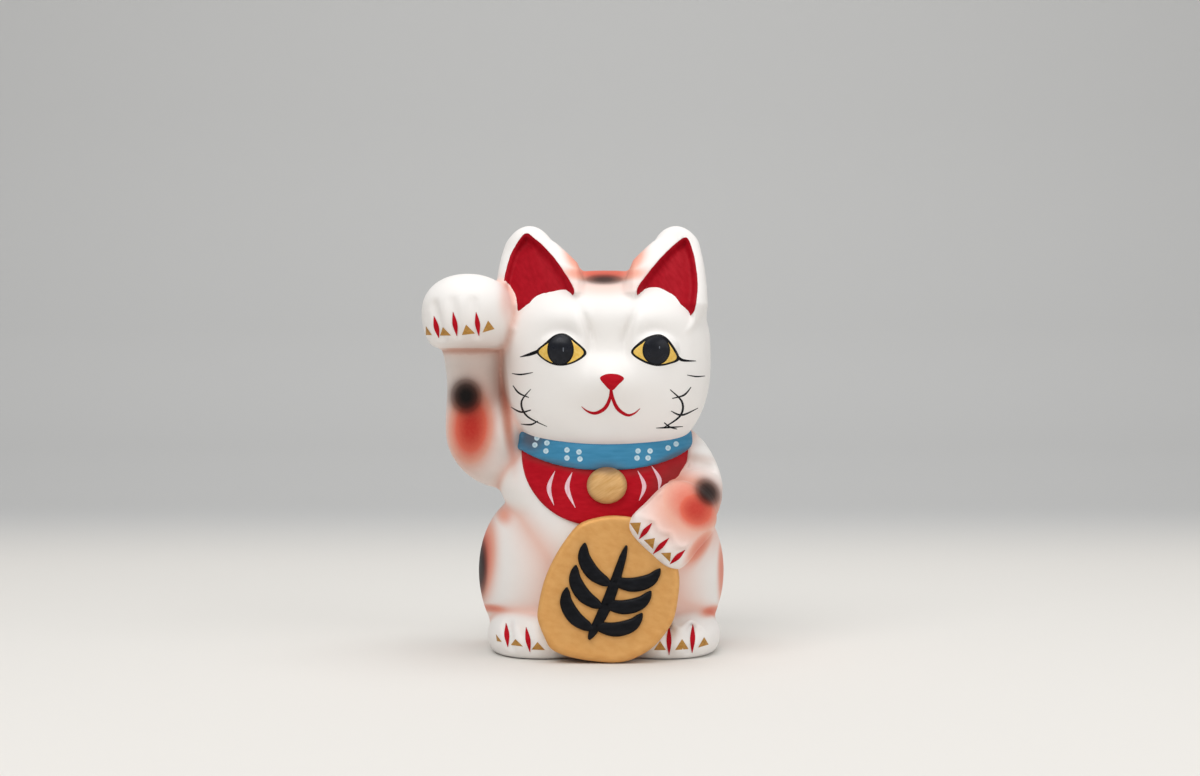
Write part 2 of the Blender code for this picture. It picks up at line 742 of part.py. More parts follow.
def raised_rows():
    """From inside the chest, round the elbow and up beside the head."""
    half = ARM_THICK / 2
    rows = [(-0.3 * CHEST_WIDTH, 0, SHOULDER_LEVEL, half, half)]
    for turn in (0, 30, 60, 90):
        x = -ARM_OUT + ELBOW_BEND * (1 - math.sin(math.radians(turn)))
        z = SHOULDER_LEVEL + ELBOW_BEND * (1 - math.cos(math.radians(turn)))
        rows.append((x, -ARM_FORWARD * turn / 300, z, 1.03 * half, 1.1 * half))
    rows.append((-ARM_OUT, -0.6 * ARM_FORWARD, 0.5 * (rows[-1][2] + WRIST_LEVEL), half, 1.05 * half))
    rows.append((-ARM_OUT, -ARM_FORWARD, WRIST_LEVEL, 1.05 * half, 1.1 * half))
    return rows


def raised_limb(grow=0.0):
    return limb("raised_forearm", raised_rows(), 15, Vector((0, 1, 0)), grow, 20)


def make_forearm():
    neighbours = (trunk_tool(GAP), haunch(-1, GAP), skull("skull", GAP), collar(GAP), bib_blank(GAP))
    return cut(raised_limb(), "DIFFERENCE", *neighbours)


def paw_centre():
    return Vector((-PAW_OUT, -PAW_FORWARD, WRIST_LEVEL + PAW_RISE))


def make_paw():
    """The beckoning paw: a ball bent forward over the wrist, with its toes in front."""
    half = Vector((PAW_WIDTH / 2, PAW_DEEP / 2, PAW_TALL / 2))
    paw = ellipsoid("raised_paw", paw_centre(), half, count=22, rows=13, power=2.2)
    for k in (-1, 0, 1):
        turn = 0.46 * k - 0.08
        out = Vector((math.sin(turn), -math.cos(turn), -0.35)).normalized()
        reach = 1 / math.sqrt(sum((out[i] / half[i]) ** 2 for i in range(3)))
        down = Vector((0, 0, 1)) - out * out.z
        cut(paw, "DIFFERENCE", slit(paw_centre() + out * reach, down.normalized(), out))
    return cut(paw, "DIFFERENCE", skull("skull", GAP), ear(-1, GAP), raised_limb(GAP))


def hold_frame():
    """The holding paw on the coin's upper edge: across the toes, out of the coin, and back up the paw."""
    coin = coin_frame()
    across = Vector((-0.84, 0, 0.545)).normalized()
    out = (coin.to_3x3() @ Vector((0, -1, 0))).normalized()
    out = (out - across * out.dot(across)).normalized()
    back = across.cross(out)
    edge = coin @ Vector((0.25 * COIN_WIDTH, 0, 0.36 * COIN_LENGTH))
    centre = edge + back * 0.58 * HOLD_PAW_LENGTH
    return centre, Matrix((across, out, back)).transposed()


def hold_sizes(grow=0.0):
    return tuple(size / 2 + grow for size in (HOLD_PAW_WIDTH, HOLD_PAW_THICK, HOLD_PAW_LENGTH))


def hold_form(grow=0.0):
    """The holding arm before it is cut to its neighbours: from the shoulder, round the elbow, to the paw."""
    half = HOLD_THICK / 2
    centre, axes = hold_frame()
    inner = centre + axes @ Vector((0, -0.1 * HOLD_PAW_THICK, 0.1 * HOLD_PAW_LENGTH))
    elbow = Vector((ELBOW_OUT, -ELBOW_FORWARD, NECK_HEIGHT - ELBOW_DROP))
    middle = (elbow + inner) / 2
    rows = (
        (0.36 * CHEST_WIDTH, 0.1 * CHEST_BACK, NECK_HEIGHT - 0.35 * ELBOW_DROP, 0.9 * half, 0.9 * half),
        (0.92 * ELBOW_OUT, -0.2 * ELBOW_FORWARD, NECK_HEIGHT - 0.62 * ELBOW_DROP, 0.95 * half, 0.95 * half),
        (*elbow, half, half),
        (1.05 * middle.x, middle.y, middle.z, 1.05 * half, 1.05 * half),
        (*inner, half, 0.85 * half),
    )
    arm = limb("holding_arm", rows, 12, Vector((0, 0, 1)), grow, 18)
    return cut(arm, "UNION", ellipsoid("paw", centre, hold_sizes(grow), axes, 0, 18, 12, HOLD_PAW_POWER))


def make_holding_arm():
    arm = hold_form()
    centre, axes = hold_frame()
    sizes = hold_sizes()
    for k in (-1, 0, 1):
        lean = Vector((0.56 * k, 0.8, -0.62)).normalized()
        reach = 1 / math.sqrt(sum((lean[i] / sizes[i]) ** 2 for i in range(3)))
        out = axes @ lean
        down = axes @ Vector((0, 0, 1))
        along = (down - out * out.dot(down)).normalized()
        cut(arm, "DIFFERENCE", slit(centre + out * reach, along, out))
    neighbours = (skull("skull", GAP), collar(GAP), bib_blank(GAP), coin_blank(GAP))
    return cut(arm, "DIFFERENCE", *body_tools(GAP), *neighbours)


def make_tail():
    """A short tail that rises against the back."""
    half = TAIL_THICK / 2
    back = HIP_BACK
    rows = (
        (0, back - half, half + GAP, 0.7 * half, 0.7 * half),
        (0.02 * HIP_WIDTH, back + 0.1 * half, 0.35 * TAIL_TALL + half, half, half),
        (0.07 * HIP_WIDTH, back + 0.15 * half, 0.75 * TAIL_TALL + half, 0.95 * half, 0.95 * half),
        (0.13 * HIP_WIDTH, back - 0.3 * half, TAIL_TALL + half, 0.45 * half, 0.45 * half),
    )
    return cut(limb("tail", rows, 12, Vector((1, 0, 0)), 0, 16), "DIFFERENCE", *body_tools(GAP))


def build():
    clear_scene()
    clay = paint("whitened_pottery", (0.83, 0.80, 0.75), 0.6)
    gold = paint("gold_paint", (0.62, 0.33, 0.09), 0.45)
    blue = paint("blue_paint", (0.05, 0.27, 0.47), 0.5)
    red = paint("red_paint", (0.46, 0.012, 0.02), 0.5)
    rubber = paint("black_rubber", (0.03, 0.03, 0.03), 0.7)
    bare = paint("bare_pottery", (0.62, 0.50, 0.38), 0.8)
    white = (*make_body(), *make_head(), make_forearm(), make_paw(), make_holding_arm(), make_tail())
    made = [(piece, clay) for piece in white]
    made += [(make_slab(), bare), (make_coin(), gold), (make_bell(), gold)]
    made += [(collar(), blue), (make_bib(), red), (make_stopper(), rubber)]
    for piece, material in made:
        piece.data.materials.clear()
        piece.data.materials.append(material.copy())
        piece.data.materials[0].name = f"{piece.name}_{material.name}"
        piece.data.shade_smooth()
        piece.data.set_sharp_from_angle(angle=math.radians(35))


build()
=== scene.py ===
"""Looks of the beckoning cat money box.

The white clay is one skin, worked out on a fine grid as millimetres from the surface, so that its members run
into each other as luted clay does. Brushed paint lies on it as thin patches where the camera sees them, and
airbrushed colour is carried by the skin's own points. Work is in millimetres, and places in the picture are
in pixels, across and down."""

import math

import bpy
import numpy as np
import openvdb
from mathutils import Matrix, Vector
from mathutils.bvhtree import BVHTree
from mathutils.geometry import delaunay_2d_cdt


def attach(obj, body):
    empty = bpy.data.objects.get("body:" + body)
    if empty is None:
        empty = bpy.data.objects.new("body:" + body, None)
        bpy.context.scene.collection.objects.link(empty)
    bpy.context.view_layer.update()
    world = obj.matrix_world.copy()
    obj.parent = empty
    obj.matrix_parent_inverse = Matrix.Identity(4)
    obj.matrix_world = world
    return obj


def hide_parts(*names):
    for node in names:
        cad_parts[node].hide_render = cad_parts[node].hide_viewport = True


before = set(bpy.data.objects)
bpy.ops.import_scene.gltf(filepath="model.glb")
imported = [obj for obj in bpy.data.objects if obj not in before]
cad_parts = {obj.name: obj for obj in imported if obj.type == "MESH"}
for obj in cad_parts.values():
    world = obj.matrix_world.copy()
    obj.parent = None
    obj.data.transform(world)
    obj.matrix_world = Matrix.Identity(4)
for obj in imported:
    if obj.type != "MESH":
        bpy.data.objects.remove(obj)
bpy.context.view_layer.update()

MM = 0.001
GRID = 1.0  # spacing of the samples that the clay is worked out on

# Camera, level, on the picture of 1200 by 776
PICTURE_WIDTH = 1200
MIDDLE_X, MIDDLE_Y = 600, 388
FOCAL = 1787.0  # in pixels
EYE = Vector((-2.4, -850.0, 122.5))

# Levels of the cat
FLOOR_SEAT = 7.3  # top of the base slab
COLLAR_LEVEL, COLLAR_SLOPE, COLLAR_SAG = 97.5, 0.15, 5.2
NECK = 106.0
HEAD_LEVEL = 136.0  # where the head is widest
EYE_LEVEL = 140.3
EAR_ROOT, EAR_TALL, EAR_TOP = 153.5, 46.0, 195.0
FACE_SHIFT = 1.3  # the face is modelled a little to the cat's left
BASE_SHIFT = -1.8  # and the haunches a little to its right

SIDES = (-1, 1)  # that of the raised paw first

# Sampling grid
LOW = np.array((-92.0, -66.0, -5.0))
HIGH = np.array((66.0, 66.0, 206.0))
X, Y, Z = (
    np.arange(LOW[k], HIGH[k] + GRID, GRID, dtype=np.float32).reshape([-1 if i == k else 1 for i in range(3)])
    for k in range(3)
)
SHAPE = (X.size, Y.size, Z.size)


# Clay forms, each an array of millimetres from the surface, negative inside

def true_distance(form):
    """Turns a formula that is zero on a surface into millimetres from it."""
    form = np.broadcast_to(form, SHAPE)
    slopes = np.gradient(form, GRID)
    return form / np.sqrt(sum(slope * slope for slope in slopes) + 1e-9)


def out_by(power, *parts):
    """How far out places are, from their share along each axis. A higher power is fuller."""
    return sum(np.abs(part) ** power for part in parts) ** (1 / power)


def oval(centre, halves, axes=None, power=2.0):
    """An ellipsoid with its half lengths along the columns of axes."""
    place = (X - centre[0], Y - centre[1], Z - centre[2])
    if axes is not None:
        place = [sum(axes[j][i] * place[j] for j in range(3)) for i in range(3)]
    return true_distance(out_by(power, *(place[i] / halves[i] for i in range(3))) - 1)


def through(points, steps, closed=False):
    """Rows spread along a smooth curve through the given rows."""
    rows = np.array(points, dtype=float)
    count = len(rows)
    spans = count if closed else count - 1
    found = []
    for i in range(steps + (0 if closed else 1)):
        at = i * spans / steps
        k = min(int(at), spans - 1)
        t = at - k
        near = np.arange(k - 1, k + 3)
        a, b, c, d = rows[near % count if closed else np.clip(near, 0, count - 1)]
        bend = (2 * a - 5 * b + 4 * c - d) * t * t + (3 * b - a - 3 * c + d) * t ** 3
        found.append(0.5 * (2 * b + (c - a) * t + bend))
    return np.array(found)


def limb(points, steps=14, margin=22):
    """A round limb along a curve, right up to some margin. Each row is x, y, z and the radius."""
    rows = through(points, steps)
    nearest = np.full(SHAPE, 60, np.float32)
    for start, end in zip(rows[:-1], rows[1:]):
        reach = max(start[3], end[3]) + margin
        low = np.floor((np.minimum(start[:3], end[:3]) - reach - LOW) / GRID).astype(int)
        high = np.ceil((np.maximum(start[:3], end[:3]) + reach - LOW) / GRID).astype(int)
        window = tuple(slice(max(a, 0), max(b, 1)) for a, b in zip(low, high))
        place = (X[window[0]] - start[0], Y[:, window[1]] - start[1], Z[:, :, window[2]] - start[2])
        span = end[:3] - start[:3]
        along = np.clip(sum(place[i] * span[i] for i in range(3)) / (span @ span), 0, 1)
        gap = np.sqrt(sum((place[i] - along * span[i]) ** 2 for i in range(3)))
        nearest[window] = np.minimum(nearest[window], gap - start[3] - (end[3] - start[3]) * along)
    return nearest


def luted(one, other, reach):
    """Two forms joined with a fillet of about this reach."""
    share = np.clip(0.5 + 0.5 * (other - one) / reach, 0, 1)
    return other + (one - other) * share - reach * share * (1 - share)


def trimmed(form, limit, reach):
    """What two forms share, with the edge rounded by about this reach."""
    return -luted(-form, -limit, reach)


def carved(form, tool, reach):
    """A form less a tool, with the edge rounded by about this reach."""
    return trimmed(form, -tool, reach)


def level_curve(*rows):
    """A smooth curve through pairs of level and value, at every level of the grid."""
    levels, values = zip(*rows)
    return np.polyval(np.polyfit(levels, values, len(rows) - 1), Z)


def hill(out, rise, wide, tall):
    """A soft hill on the face, the same on both sides, measured from the widest level of the head."""
    return np.exp(-(((np.abs(X - FACE_SHIFT) - out) / wide) ** 2) - ((Z - HEAD_LEVEL - rise) / tall) ** 2)


def make_trunk():
    """The seated body without arms and legs."""
    half = level_curve((0, 46), (34, 44.5), (72, 43), (106, 36))
    front = level_curve((0, 43), (34, 45), (72, 43), (106, 37))
    back = level_curve((0, 46), (34, 50), (72, 46), (106, 35))
    deep = np.where(Y < 0, front, back)
    power, into_head = 2.1, 4
    return np.maximum(true_distance(out_by(power, X / half, Y / deep) - 1), Z - NECK - into_head)


def make_furrow():
    """How deep the face lies between the brows: a trough, with a crease along each brow."""
    aside = np.abs(X - FACE_SHIFT)
    brow_edge = 7.4 + 0.045 * np.maximum(Z - 142, 0) ** 1.7  # it curves outwards as it rises
    foot, middle = 140, 150
    trough_tall = np.where(Z > foot, 13, 6)
    trough = 5.2 * np.exp(-((aside / (brow_edge + 1.8)) ** 6) - ((Z - foot) / trough_tall) ** 2)
    crease = 2.6 * np.exp(-(((aside - brow_edge) / 1.8) ** 2) - ((Z - middle) / 8) ** 2)
    return trough + crease


def make_skull():
    """The head without ears, with its muzzle, nose, brows, eye hollows and eyeballs."""
    half, front, back = 49.4, 50, 40
    over, under = 42, 47.3
    front_slope, back_slope = 0.25, 0.27  # the forehead and the nape lean towards each other
    middle = 0.6
    muzzle = 3.8 * hill(out=0, rise=-12, wide=19, tall=10)
    bridge = 1.5 * hill(out=0, rise=-8, wide=8, tall=9)
    brow = 2.2 * hill(out=21, rise=19, wide=13, tall=7) + 1.3 * hill(out=13.5, rise=14, wide=4.5, tall=8)
    hollow = 2.8 * hill(out=19, rise=8, wide=12.5, tall=7.5) + 1.3 * hill(out=9.2, rise=1, wide=2.6, tall=7)
    relief = muzzle + bridge + brow - hollow - make_furrow()
    ahead = Y + relief * np.clip(-Y / 20, 0, 1)  # none of it behind the cheeks
    chin = 9.6 + 1.9 * np.exp(-((X / 17) ** 2))
    under = under + chin * np.clip(-Y / 42, 0, 1)  # lower in front
    up = (Z - HEAD_LEVEL) / np.where(Z > HEAD_LEVEL, over, under)
    rise = np.clip(up, 0, 1) ** 2
    deep = np.where(ahead < 0, front * (1 - front_slope * rise), back * (1 - back_slope * rise))
    plan = 2.35  # power of its level outline
    power = np.where(Z > HEAD_LEVEL, 2.8, 2.4)
    skull = true_distance(out_by(power, out_by(plan, (X - middle) / half, ahead / deep), up) - 1)
    for side in SIDES:
        turn = Matrix.Rotation(side * math.radians(17), 3, "Z")
        eyeball = oval(centre=(FACE_SHIFT + side * 21.3, -43.2, EYE_LEVEL), halves=(11, 6.2, 7.6), axes=turn)
        skull = luted(skull, eyeball, reach=1.6)
    nose = oval(centre=(FACE_SHIFT + 0.7, -49.1, 126), halves=(6, 5.5, 4.0))
    return luted(skull, nose, reach=2.5)


def sight(px, py):
    """Direction from the camera through a point of the picture."""
    return Vector(((px - MIDDLE_X) / FOCAL, 1, (MIDDLE_Y - py) / FOCAL)).normalized()


def in_picture(x, y, z):
    """Where places show in the picture."""
    far = y - EYE.y
    return MIDDLE_X + (x - EYE.x) / far * FOCAL, MIDDLE_Y - (z - EYE.z) / far * FOCAL


def edge_gap(across, down, outline):
    """Pixels from places in the picture to a closed outline, negative inside it."""
    nearest = np.full(across.shape, 1e9, np.float32)
    within = np.zeros(across.shape, bool)
    for (ax, ay), (bx, by) in zip(outline, np.roll(outline, -1, axis=0)):
        run, drop = bx - ax, by - ay
        share = np.clip(((across - ax) * run + (down - ay) * drop) / (run * run + drop * drop), 0, 1)
        nearest = np.minimum(nearest, np.hypot(across - ax - share * run, down - ay - share * drop))
        crosses = (ay > down) != (by > down)
        within ^= crosses & (across < ax + (down - ay) / (drop if drop else 1e-9) * run)
    return np.where(within, -nearest, nearest)


def sample_gap(outline):
    """The same from where each sample of the grid shows, for those near the outline."""
    across, down = (np.broadcast_to(part, SHAPE) for part in in_picture(X, Y, Z))
    low, high = np.min(outline, axis=0), np.max(outline, axis=0)
    near = (across > low[0]) & (across < high[0]) & (down > low[1]) & (down < high[1])
    gap = np.full(SHAPE, 1e9, np.float32)
    gap[near] = edge_gap(across[near], down[near], outline)
    return gap


# Red inside the ears, in the picture: from the inner corner over the tip to the outer corner
EAR_EDGES = {
    -1: (
        (574, 289), (563, 270), (554, 257.5), (543.5, 246), (534, 238), (525.5, 233.5),
        (516, 245), (509, 260), (503.5, 284),
    ),
    1: (
        (637, 289), (648, 273), (661, 257.5), (675, 244), (686, 237.5), (692, 249),
        (696, 267), (697.5, 287), (695.5, 306),
    ),
}
# The hollows and the red run down behind the brow and the raised paw, and the red is the narrower one there
HOLLOW_FEET = {
    -1: ((501, 310), (512, 328), (540, 332), (566, 322), (576, 304)),
    1: ((694, 322), (680, 335), (650, 338), (638, 322), (633, 304)),
}
RED_FEET = {
    -1: ((501, 310), (512, 328), (540, 332), (562, 318), (571.5, 299)),
    1: ((692, 314.5), (680, 325), (660, 332), (647, 318), (639, 300)),
}
EAR_STEPS = 66
EAR_PIXEL = 0.47  # millimetres of a pixel at the ears


def make_ear(side):
    """A leaf that leans outwards to a round tip, hollowed in front."""
    by_paw = side < 0
    wider = 2.2 if by_paw else 0
    root_half = 30.8 if by_paw else 28.7
    root_deep, root_ahead, tip_behind = 22.6, 26, 2
    root_out, lean_out = 19, 17.4
    outer, inner = (0.55, 0.35) if by_paw else (0.3, 0.5)  # how far its two edges are turned
    share = np.clip((Z - EAR_ROOT) / EAR_TALL, -0.1, 0.98)
    half = root_half * (1 - share) ** 0.56
    deep = root_deep * (1 - share) ** 0.65
    across = X - side * (root_out + lean_out * share + wider)
    turned_by = outer * np.maximum(side * across, 0) + inner * np.minimum(side * across, 0)
    along = Y - tip_behind + root_ahead * (1 - share) - turned_by
    flat = np.where(along < 0, 4.0, 2.0)  # flatter in front than behind
    leaf = true_distance(out_by(flat, across / half, along / deep) - 1)
    leaf = trimmed(leaf, Z - EAR_TOP, reach=5)
    tip = oval(centre=(side * (33.6 + wider), -2.5, 190.3), halves=(9.2, 6.0, 9.0))
    leaf = luted(leaf, tip, reach=4)

    wall, dish_deep = 3.5, 3.6
    outline = through(EAR_EDGES[side] + HOLLOW_FEET[side], EAR_STEPS, True)
    inward = np.clip(-EAR_PIXEL * sample_gap(outline) / wall, 0, 1)
    dish = np.minimum(dish_deep, 0.6 * deep) * np.clip(-along / (0.4 * deep), 0, 1)
    leaf = leaf + dish * inward ** 2 * (3 - 2 * inward)

    # Its foot sinks into the brow and the crown, and further at its inner corner
    brow_top, crown_half, corner_top, corner_out, corner_wide, cut_below = 161, 13, 166, 34, 14, 6
    into_brow = 0.5 * np.maximum(brow_top - Z, 0)
    into_crown = 0.9 * np.maximum(crown_half - side * X, 0)
    corner = np.maximum(corner_top - Z, 0) * np.clip((corner_out - side * X) / corner_wide, 0, 1)
    return np.maximum(leaf + into_brow + into_crown + corner, EAR_ROOT - cut_below - Z)


def coin_frame():
    """Where the coin stands: across, into the belly, and up its length."""
    centre, leans_back, turned_aside = (1.5, -55.0, 32.7), -5, 22
    lean = Matrix.Rotation(math.radians(leans_back), 3, "X")
    turn = Matrix.Rotation(math.radians(turned_aside), 3, "Y")
    return Matrix.Translation(centre) @ (lean @ turn).to_4x4()


COIN = coin_frame()


def hold_frame():
    """The holding paw on the coin: across the toes, out of the coin, and back up the paw."""
    toes, toes_to_centre = Vector((18.4, -53.4, 49.5)), 16.6
    laid_back = 0.25  # how steeply the paw lies back into the arm
    across = Vector((-0.72, 0, 0.69)).normalized()
    out = (COIN.to_3x3() @ Vector((0, -1, 0))).normalized()
    out = (out - across * out.dot(across)).normalized()
    out = (out + laid_back * across.cross(out)).normalized()
    back = across.cross(out)
    centre = toes + back * toes_to_centre - across * 0.6
    return centre, Matrix((across, out, back)).transposed()


def make_holding_arm():
    """A round arm that ends in a broad paw with a straight edge of toes."""
    arm = limb((
        (31, 4.6, 94, 13.2),
        (36.8, -2.4, 86.8, 14.3),
        (40.3, -12, 75.7, 14.8),
        (38, -30, 67.8, 13.2),
        (36, -41, 66.5, 10.5),
    ))
    centre, axes = hold_frame()
    place = (X - centre.x, Y - centre.y, Z - centre.z)
    across, out, back = (sum(axes[j][i] * place[j] for j in range(3)) for i in range(3))
    half, thick = 15.7, 9.2
    to_toes, to_arm = 15.8, 18
    slimmer = 0.1 * np.clip(back, -to_arm, to_arm)
    reach = np.where(back < 0, to_toes, to_arm)
    plan, power = 4, 2.4
    level = out_by(plan, across / (half - slimmer), back / reach)
    paw = true_distance(out_by(power, level, out / (thick - slimmer)) - 1)
    return luted(arm, paw, reach=11)


def make_raised_arm():
    """An arm that leaves the shoulder sideways and bends up to the paw."""
    rows = [(-25.8, 0, 89, 12.8)]
    bend_out, bend_level, bend_radius = -44.5, 106, 17  # the arm runs round this point
    arm_radius, elbow_fuller = 14.1, 1.1
    for turn in (0, 30, 60, 90):
        bend = math.radians(turn)
        out = bend_out - bend_radius * math.sin(bend)
        level = bend_level - bend_radius * math.cos(bend)
        rows.append((out, -0.03 * turn, level, arm_radius + elbow_fuller * math.sin(2 * bend)))
    rows.append((-61.5, -5.4, 126.5, 13.1))
    rows.append((-62, -9, 147, 15.5))
    shoulder = oval(centre=(-46.5, -5, 103), halves=(9.5, 17, 13))
    return luted(limb(rows, 20), shoulder, reach=6)


def make_raised_paw():
    """A ball bent forward over the wrist and wiped flat under it."""
    centre, half, deep = (-63.7, -19, 157.5), 21.5, 23
    over, under = 18, 23.5
    fuller = 2.15
    top = oval(centre, (half, deep, over), power=fuller)
    low = oval(centre, (half, deep, under), power=fuller)
    wrist = 141
    return trimmed(np.where(Z > centre[2], top, low), wrist - Z, reach=3)


def make_haunch(side):
    """A thigh turned out from the belly."""
    turn = math.radians(56)
    axes = Matrix((
        (-side * math.cos(turn), side * math.sin(turn), 0),
        (-math.sin(turn), -math.cos(turn), 0),
        (0, 0, 1),
    ))
    return oval(centre=(side * 32 + BASE_SHIFT, -6, 35), halves=(38, 20, 38), axes=axes)


def make_foot(side):
    """A flat foot under the haunch."""
    return oval(centre=(side * 27.6 - 0.6, -9, 7.5), halves=(26.8, 39.5, 14.5), power=2.25)


def make_tail():
    """A short tail laid up the back."""
    return limb(((0, 42.5, 7.8, 5.3), (1.8, 50.8, 19.4, 7.5), (6.2, 51.1, 33, 7.1), (11.6, 47.8, 41.5, 3.4)))


def at_points(field, points):
    """Values of a field at points, from the eight samples round each."""
    place = (points - LOW) / GRID
    low = np.clip(np.floor(place).astype(int), 0, np.array(SHAPE) - 2)
    part = place - low
    total = np.zeros(len(points))
    for corner in np.ndindex(2, 2, 2):
        weight = np.prod(np.where(corner, part, 1 - part), axis=1)
        total += weight * field[tuple((low + corner).T)]
    return total


# The members, and the cat luted together from them

trunk = make_trunk()
haunches = np.minimum(make_haunch(-1), make_haunch(1))
feet = np.minimum(make_foot(-1), make_foot(1))
skull = make_skull()
ears = np.minimum(make_ear(-1), make_ear(1))
raised_arm = make_raised_arm()
raised_paw = make_raised_paw()
holding_arm = make_holding_arm()
tail = make_tail()
under_raised_arm = oval(centre=(-33, -4, 77), halves=(16.5, 23, 15))
barrel = luted(trunk, under_raised_arm, reach=6)
ear_fillet = 1.0 + 5.0 * np.clip((Y + 23) / 11, 0, 1)  # a sharp crease only in front
head = luted(skull, ears, ear_fillet)


def lute_together():
    """The whole cat, still solid."""
    cat = barrel
    for member, reach in ((haunches, 2.5), (feet, 3.5), (tail, 4), (holding_arm, 3), (head, 1.5)):
        cat = luted(cat, member, reach)
    return luted(cat, luted(raised_arm, raised_paw, reach=2.5), reach=4)


def hollowed(cat):
    """The cat less its chamber, coin slot and seat of the base slab, and cut flat below."""
    body_wall, head_wall, seat_wall = 7.5, 6, 5
    body_top, head_foot = NECK + 2, NECK - 5  # the two spaces run into each other
    slot_half, slot_half_tall, slot_level, slot_front = 18, 2.7, HEAD_LEVEL + 8, 20
    in_body = np.maximum(trunk + body_wall, Z - body_top)
    in_head = np.maximum(skull + head_wall, head_foot - Z)
    slot = np.maximum(np.abs(X) - slot_half, np.abs(Z - slot_level) - slot_half_tall)
    seat = np.maximum(trunk + seat_wall, Z - FLOOR_SEAT)
    cat = carved(cat, np.minimum(in_body, in_head), reach=0.8)
    cat = carved(cat, np.maximum(slot, slot_front - Y), reach=0.8)
    cat = carved(cat, seat, reach=0.5)
    return trimmed(cat, -Z, reach=1.5)


def find_creases(members, reach=7, depth=1.6):
    """How far each sample lies in a crease where members meet, from 0 to 1."""
    filled = plain = members[0]
    for member in members[1:]:
        filled = luted(filled, member, reach)
        plain = np.minimum(plain, member)
    return np.clip((plain - filled) / depth, 0, 1)


clay = hollowed(lute_together())
creases = find_creases((barrel, haunches, feet, head, raised_arm, raised_paw, holding_arm))


# Fine relief, placed by where it shows in the picture

TOE_SLITS = {
    "raised_paw": (((434, 316), (439, 338)), ((453, 312), (457, 336)), ((476, 312), (479, 336))),
    "holding_paw": (((652, 523), (639, 539)), ((669, 538), (653, 554)), ((685, 550), (670, 564))),
    "right_foot": (((506, 623), (508, 647)), ((526, 627), (530, 652))),
    "left_foot": (((669, 626), (669, 655)), ((693, 624), (692, 653))),
}
SHOULDER_FOLD = ((684, 460), (692, 463.5), (702, 464.5), (714, 467))
SLIP_ROLLS = {
    "left_toes": (
        (673, 625.5), (676.5, 627.5), (680, 629.5), (685.5, 625), (691.5, 621), (697, 625), (703, 629),
    ),
    "holding_toes": (
        (636, 517), (646, 518.5), (655, 521), (658, 529), (665, 532.5),
        (671, 534), (675, 543), (680, 546.5), (686, 545.5),
    ),
    "raised_wrist": ((441, 348), (452, 349.5), (470, 350), (490, 349), (502, 347)),
    "arm_on_bib": (
        (690, 448), (689, 457), (686, 466), (680, 472), (672, 481),
        (663, 491), (654, 500), (645, 509), (637, 514),
    ),
}
COLLAR_END = ((523, 434.5), (522, 441), (522.5, 447))


def drawn(form, rows, radius, lift):
    """A round tool or a roll of slip along a line of the picture, lifted off a form."""
    steps = np.arange(760, 900, 0.25)[:, None]  # from in front of the cat to behind it
    points = []
    for px, py in rows:
        ray = np.array(sight(px, py))
        places = np.array(EYE) + steps * ray
        first = places[np.argmax(at_points(form, places) < 0)]
        points.append((*(first - lift * ray), radius))
    return limb(points, 4 * len(points), 8)


def toe_groove(start, end, above):
    """The line of a groove between two toes, which starts some share of a slit above it."""
    run = (end[0] - start[0], end[1] - start[1])
    return [(start[0] + run[0] * t, start[1] + run[1] * t) for t in (-above, 0.3, 0.7, 1.0)]


def add_relief(form):
    """Grooves between the toes, the fold of the shoulder, and rolls of slip along some joins."""
    tools = []
    for paw, slits in TOE_SLITS.items():
        above = 0.5 if paw == "raised_paw" else 0.1  # its toes are parted further up
        for start, end in slits:
            tools.append(drawn(form, toe_groove(start, end, above), radius=3.0, lift=2.35))
    tools.append(drawn(form, SHOULDER_FOLD, radius=3.0, lift=1.6))
    rolls = [drawn(form, rows, radius=1.0, lift=-0.2) for rows in SLIP_ROLLS.values()]
    for tool in tools:
        form = carved(form, tool, reach=1.6)
    for roll in rolls:
        form = luted(form, roll, reach=1.2)
    return form


clay = add_relief(clay)


# Meshes

def cast(form):
    """The surface of a form as points and four-sided faces that look outwards."""
    grid = openvdb.FloatGrid()
    grid.copyFromArray(np.ascontiguousarray(form, dtype=np.float32))
    points, faces = grid.convertToQuads(0.0)
    return points * GRID + LOW, faces


def surface(points, faces):
    """A mesh's faces as something that rays can be shot at."""
    return BVHTree.FromPolygons([tuple(point) for point in points], [tuple(face) for face in faces])


def smooth_normals(points, faces):
    """The direction that a skin looks in at each of its points."""
    whole = bpy.data.meshes.new("whole")
    whole.from_pydata(points, [], [list(face) for face in faces])
    normals = np.empty(3 * len(points), np.float32)
    whole.vertex_normals.foreach_get("vector", normals)
    bpy.data.meshes.remove(whole)
    return normals.reshape(-1, 3)


def circle(count):
    """Cosine and sine at even steps round a circle."""
    turns = [2 * math.pi * i / count for i in range(count)]
    return [(math.cos(turn), math.sin(turn)) for turn in turns]


def runs(rows):
    """The direction that a flat curve runs in at each of its rows."""
    last = len(rows) - 1
    spans = [rows[min(k + 1, last)] - rows[max(k - 1, 0)] for k in range(len(rows))]
    return [Vector(span[:2]).normalized() for span in spans]


def closed_tube(rings, count, first=0):
    """Faces over rings of points that follow each other, with both ends capped."""
    faces = []
    for k in range(rings - 1):
        low, high = first + k * count, first + (k + 1) * count
        for i in range(count):
            j = (i + 1) % count
            faces.append((low + i, low + j, high + j, high + i))
    faces.append(tuple(range(first, first + count))[::-1])
    faces.append(tuple(range(first + (rings - 1) * count, first + rings * count)))
    return faces


def put(name, data):
    """A new object in the scene."""
    made = bpy.data.objects.new(name, data)
    bpy.context.scene.collection.objects.link(made)
    return made


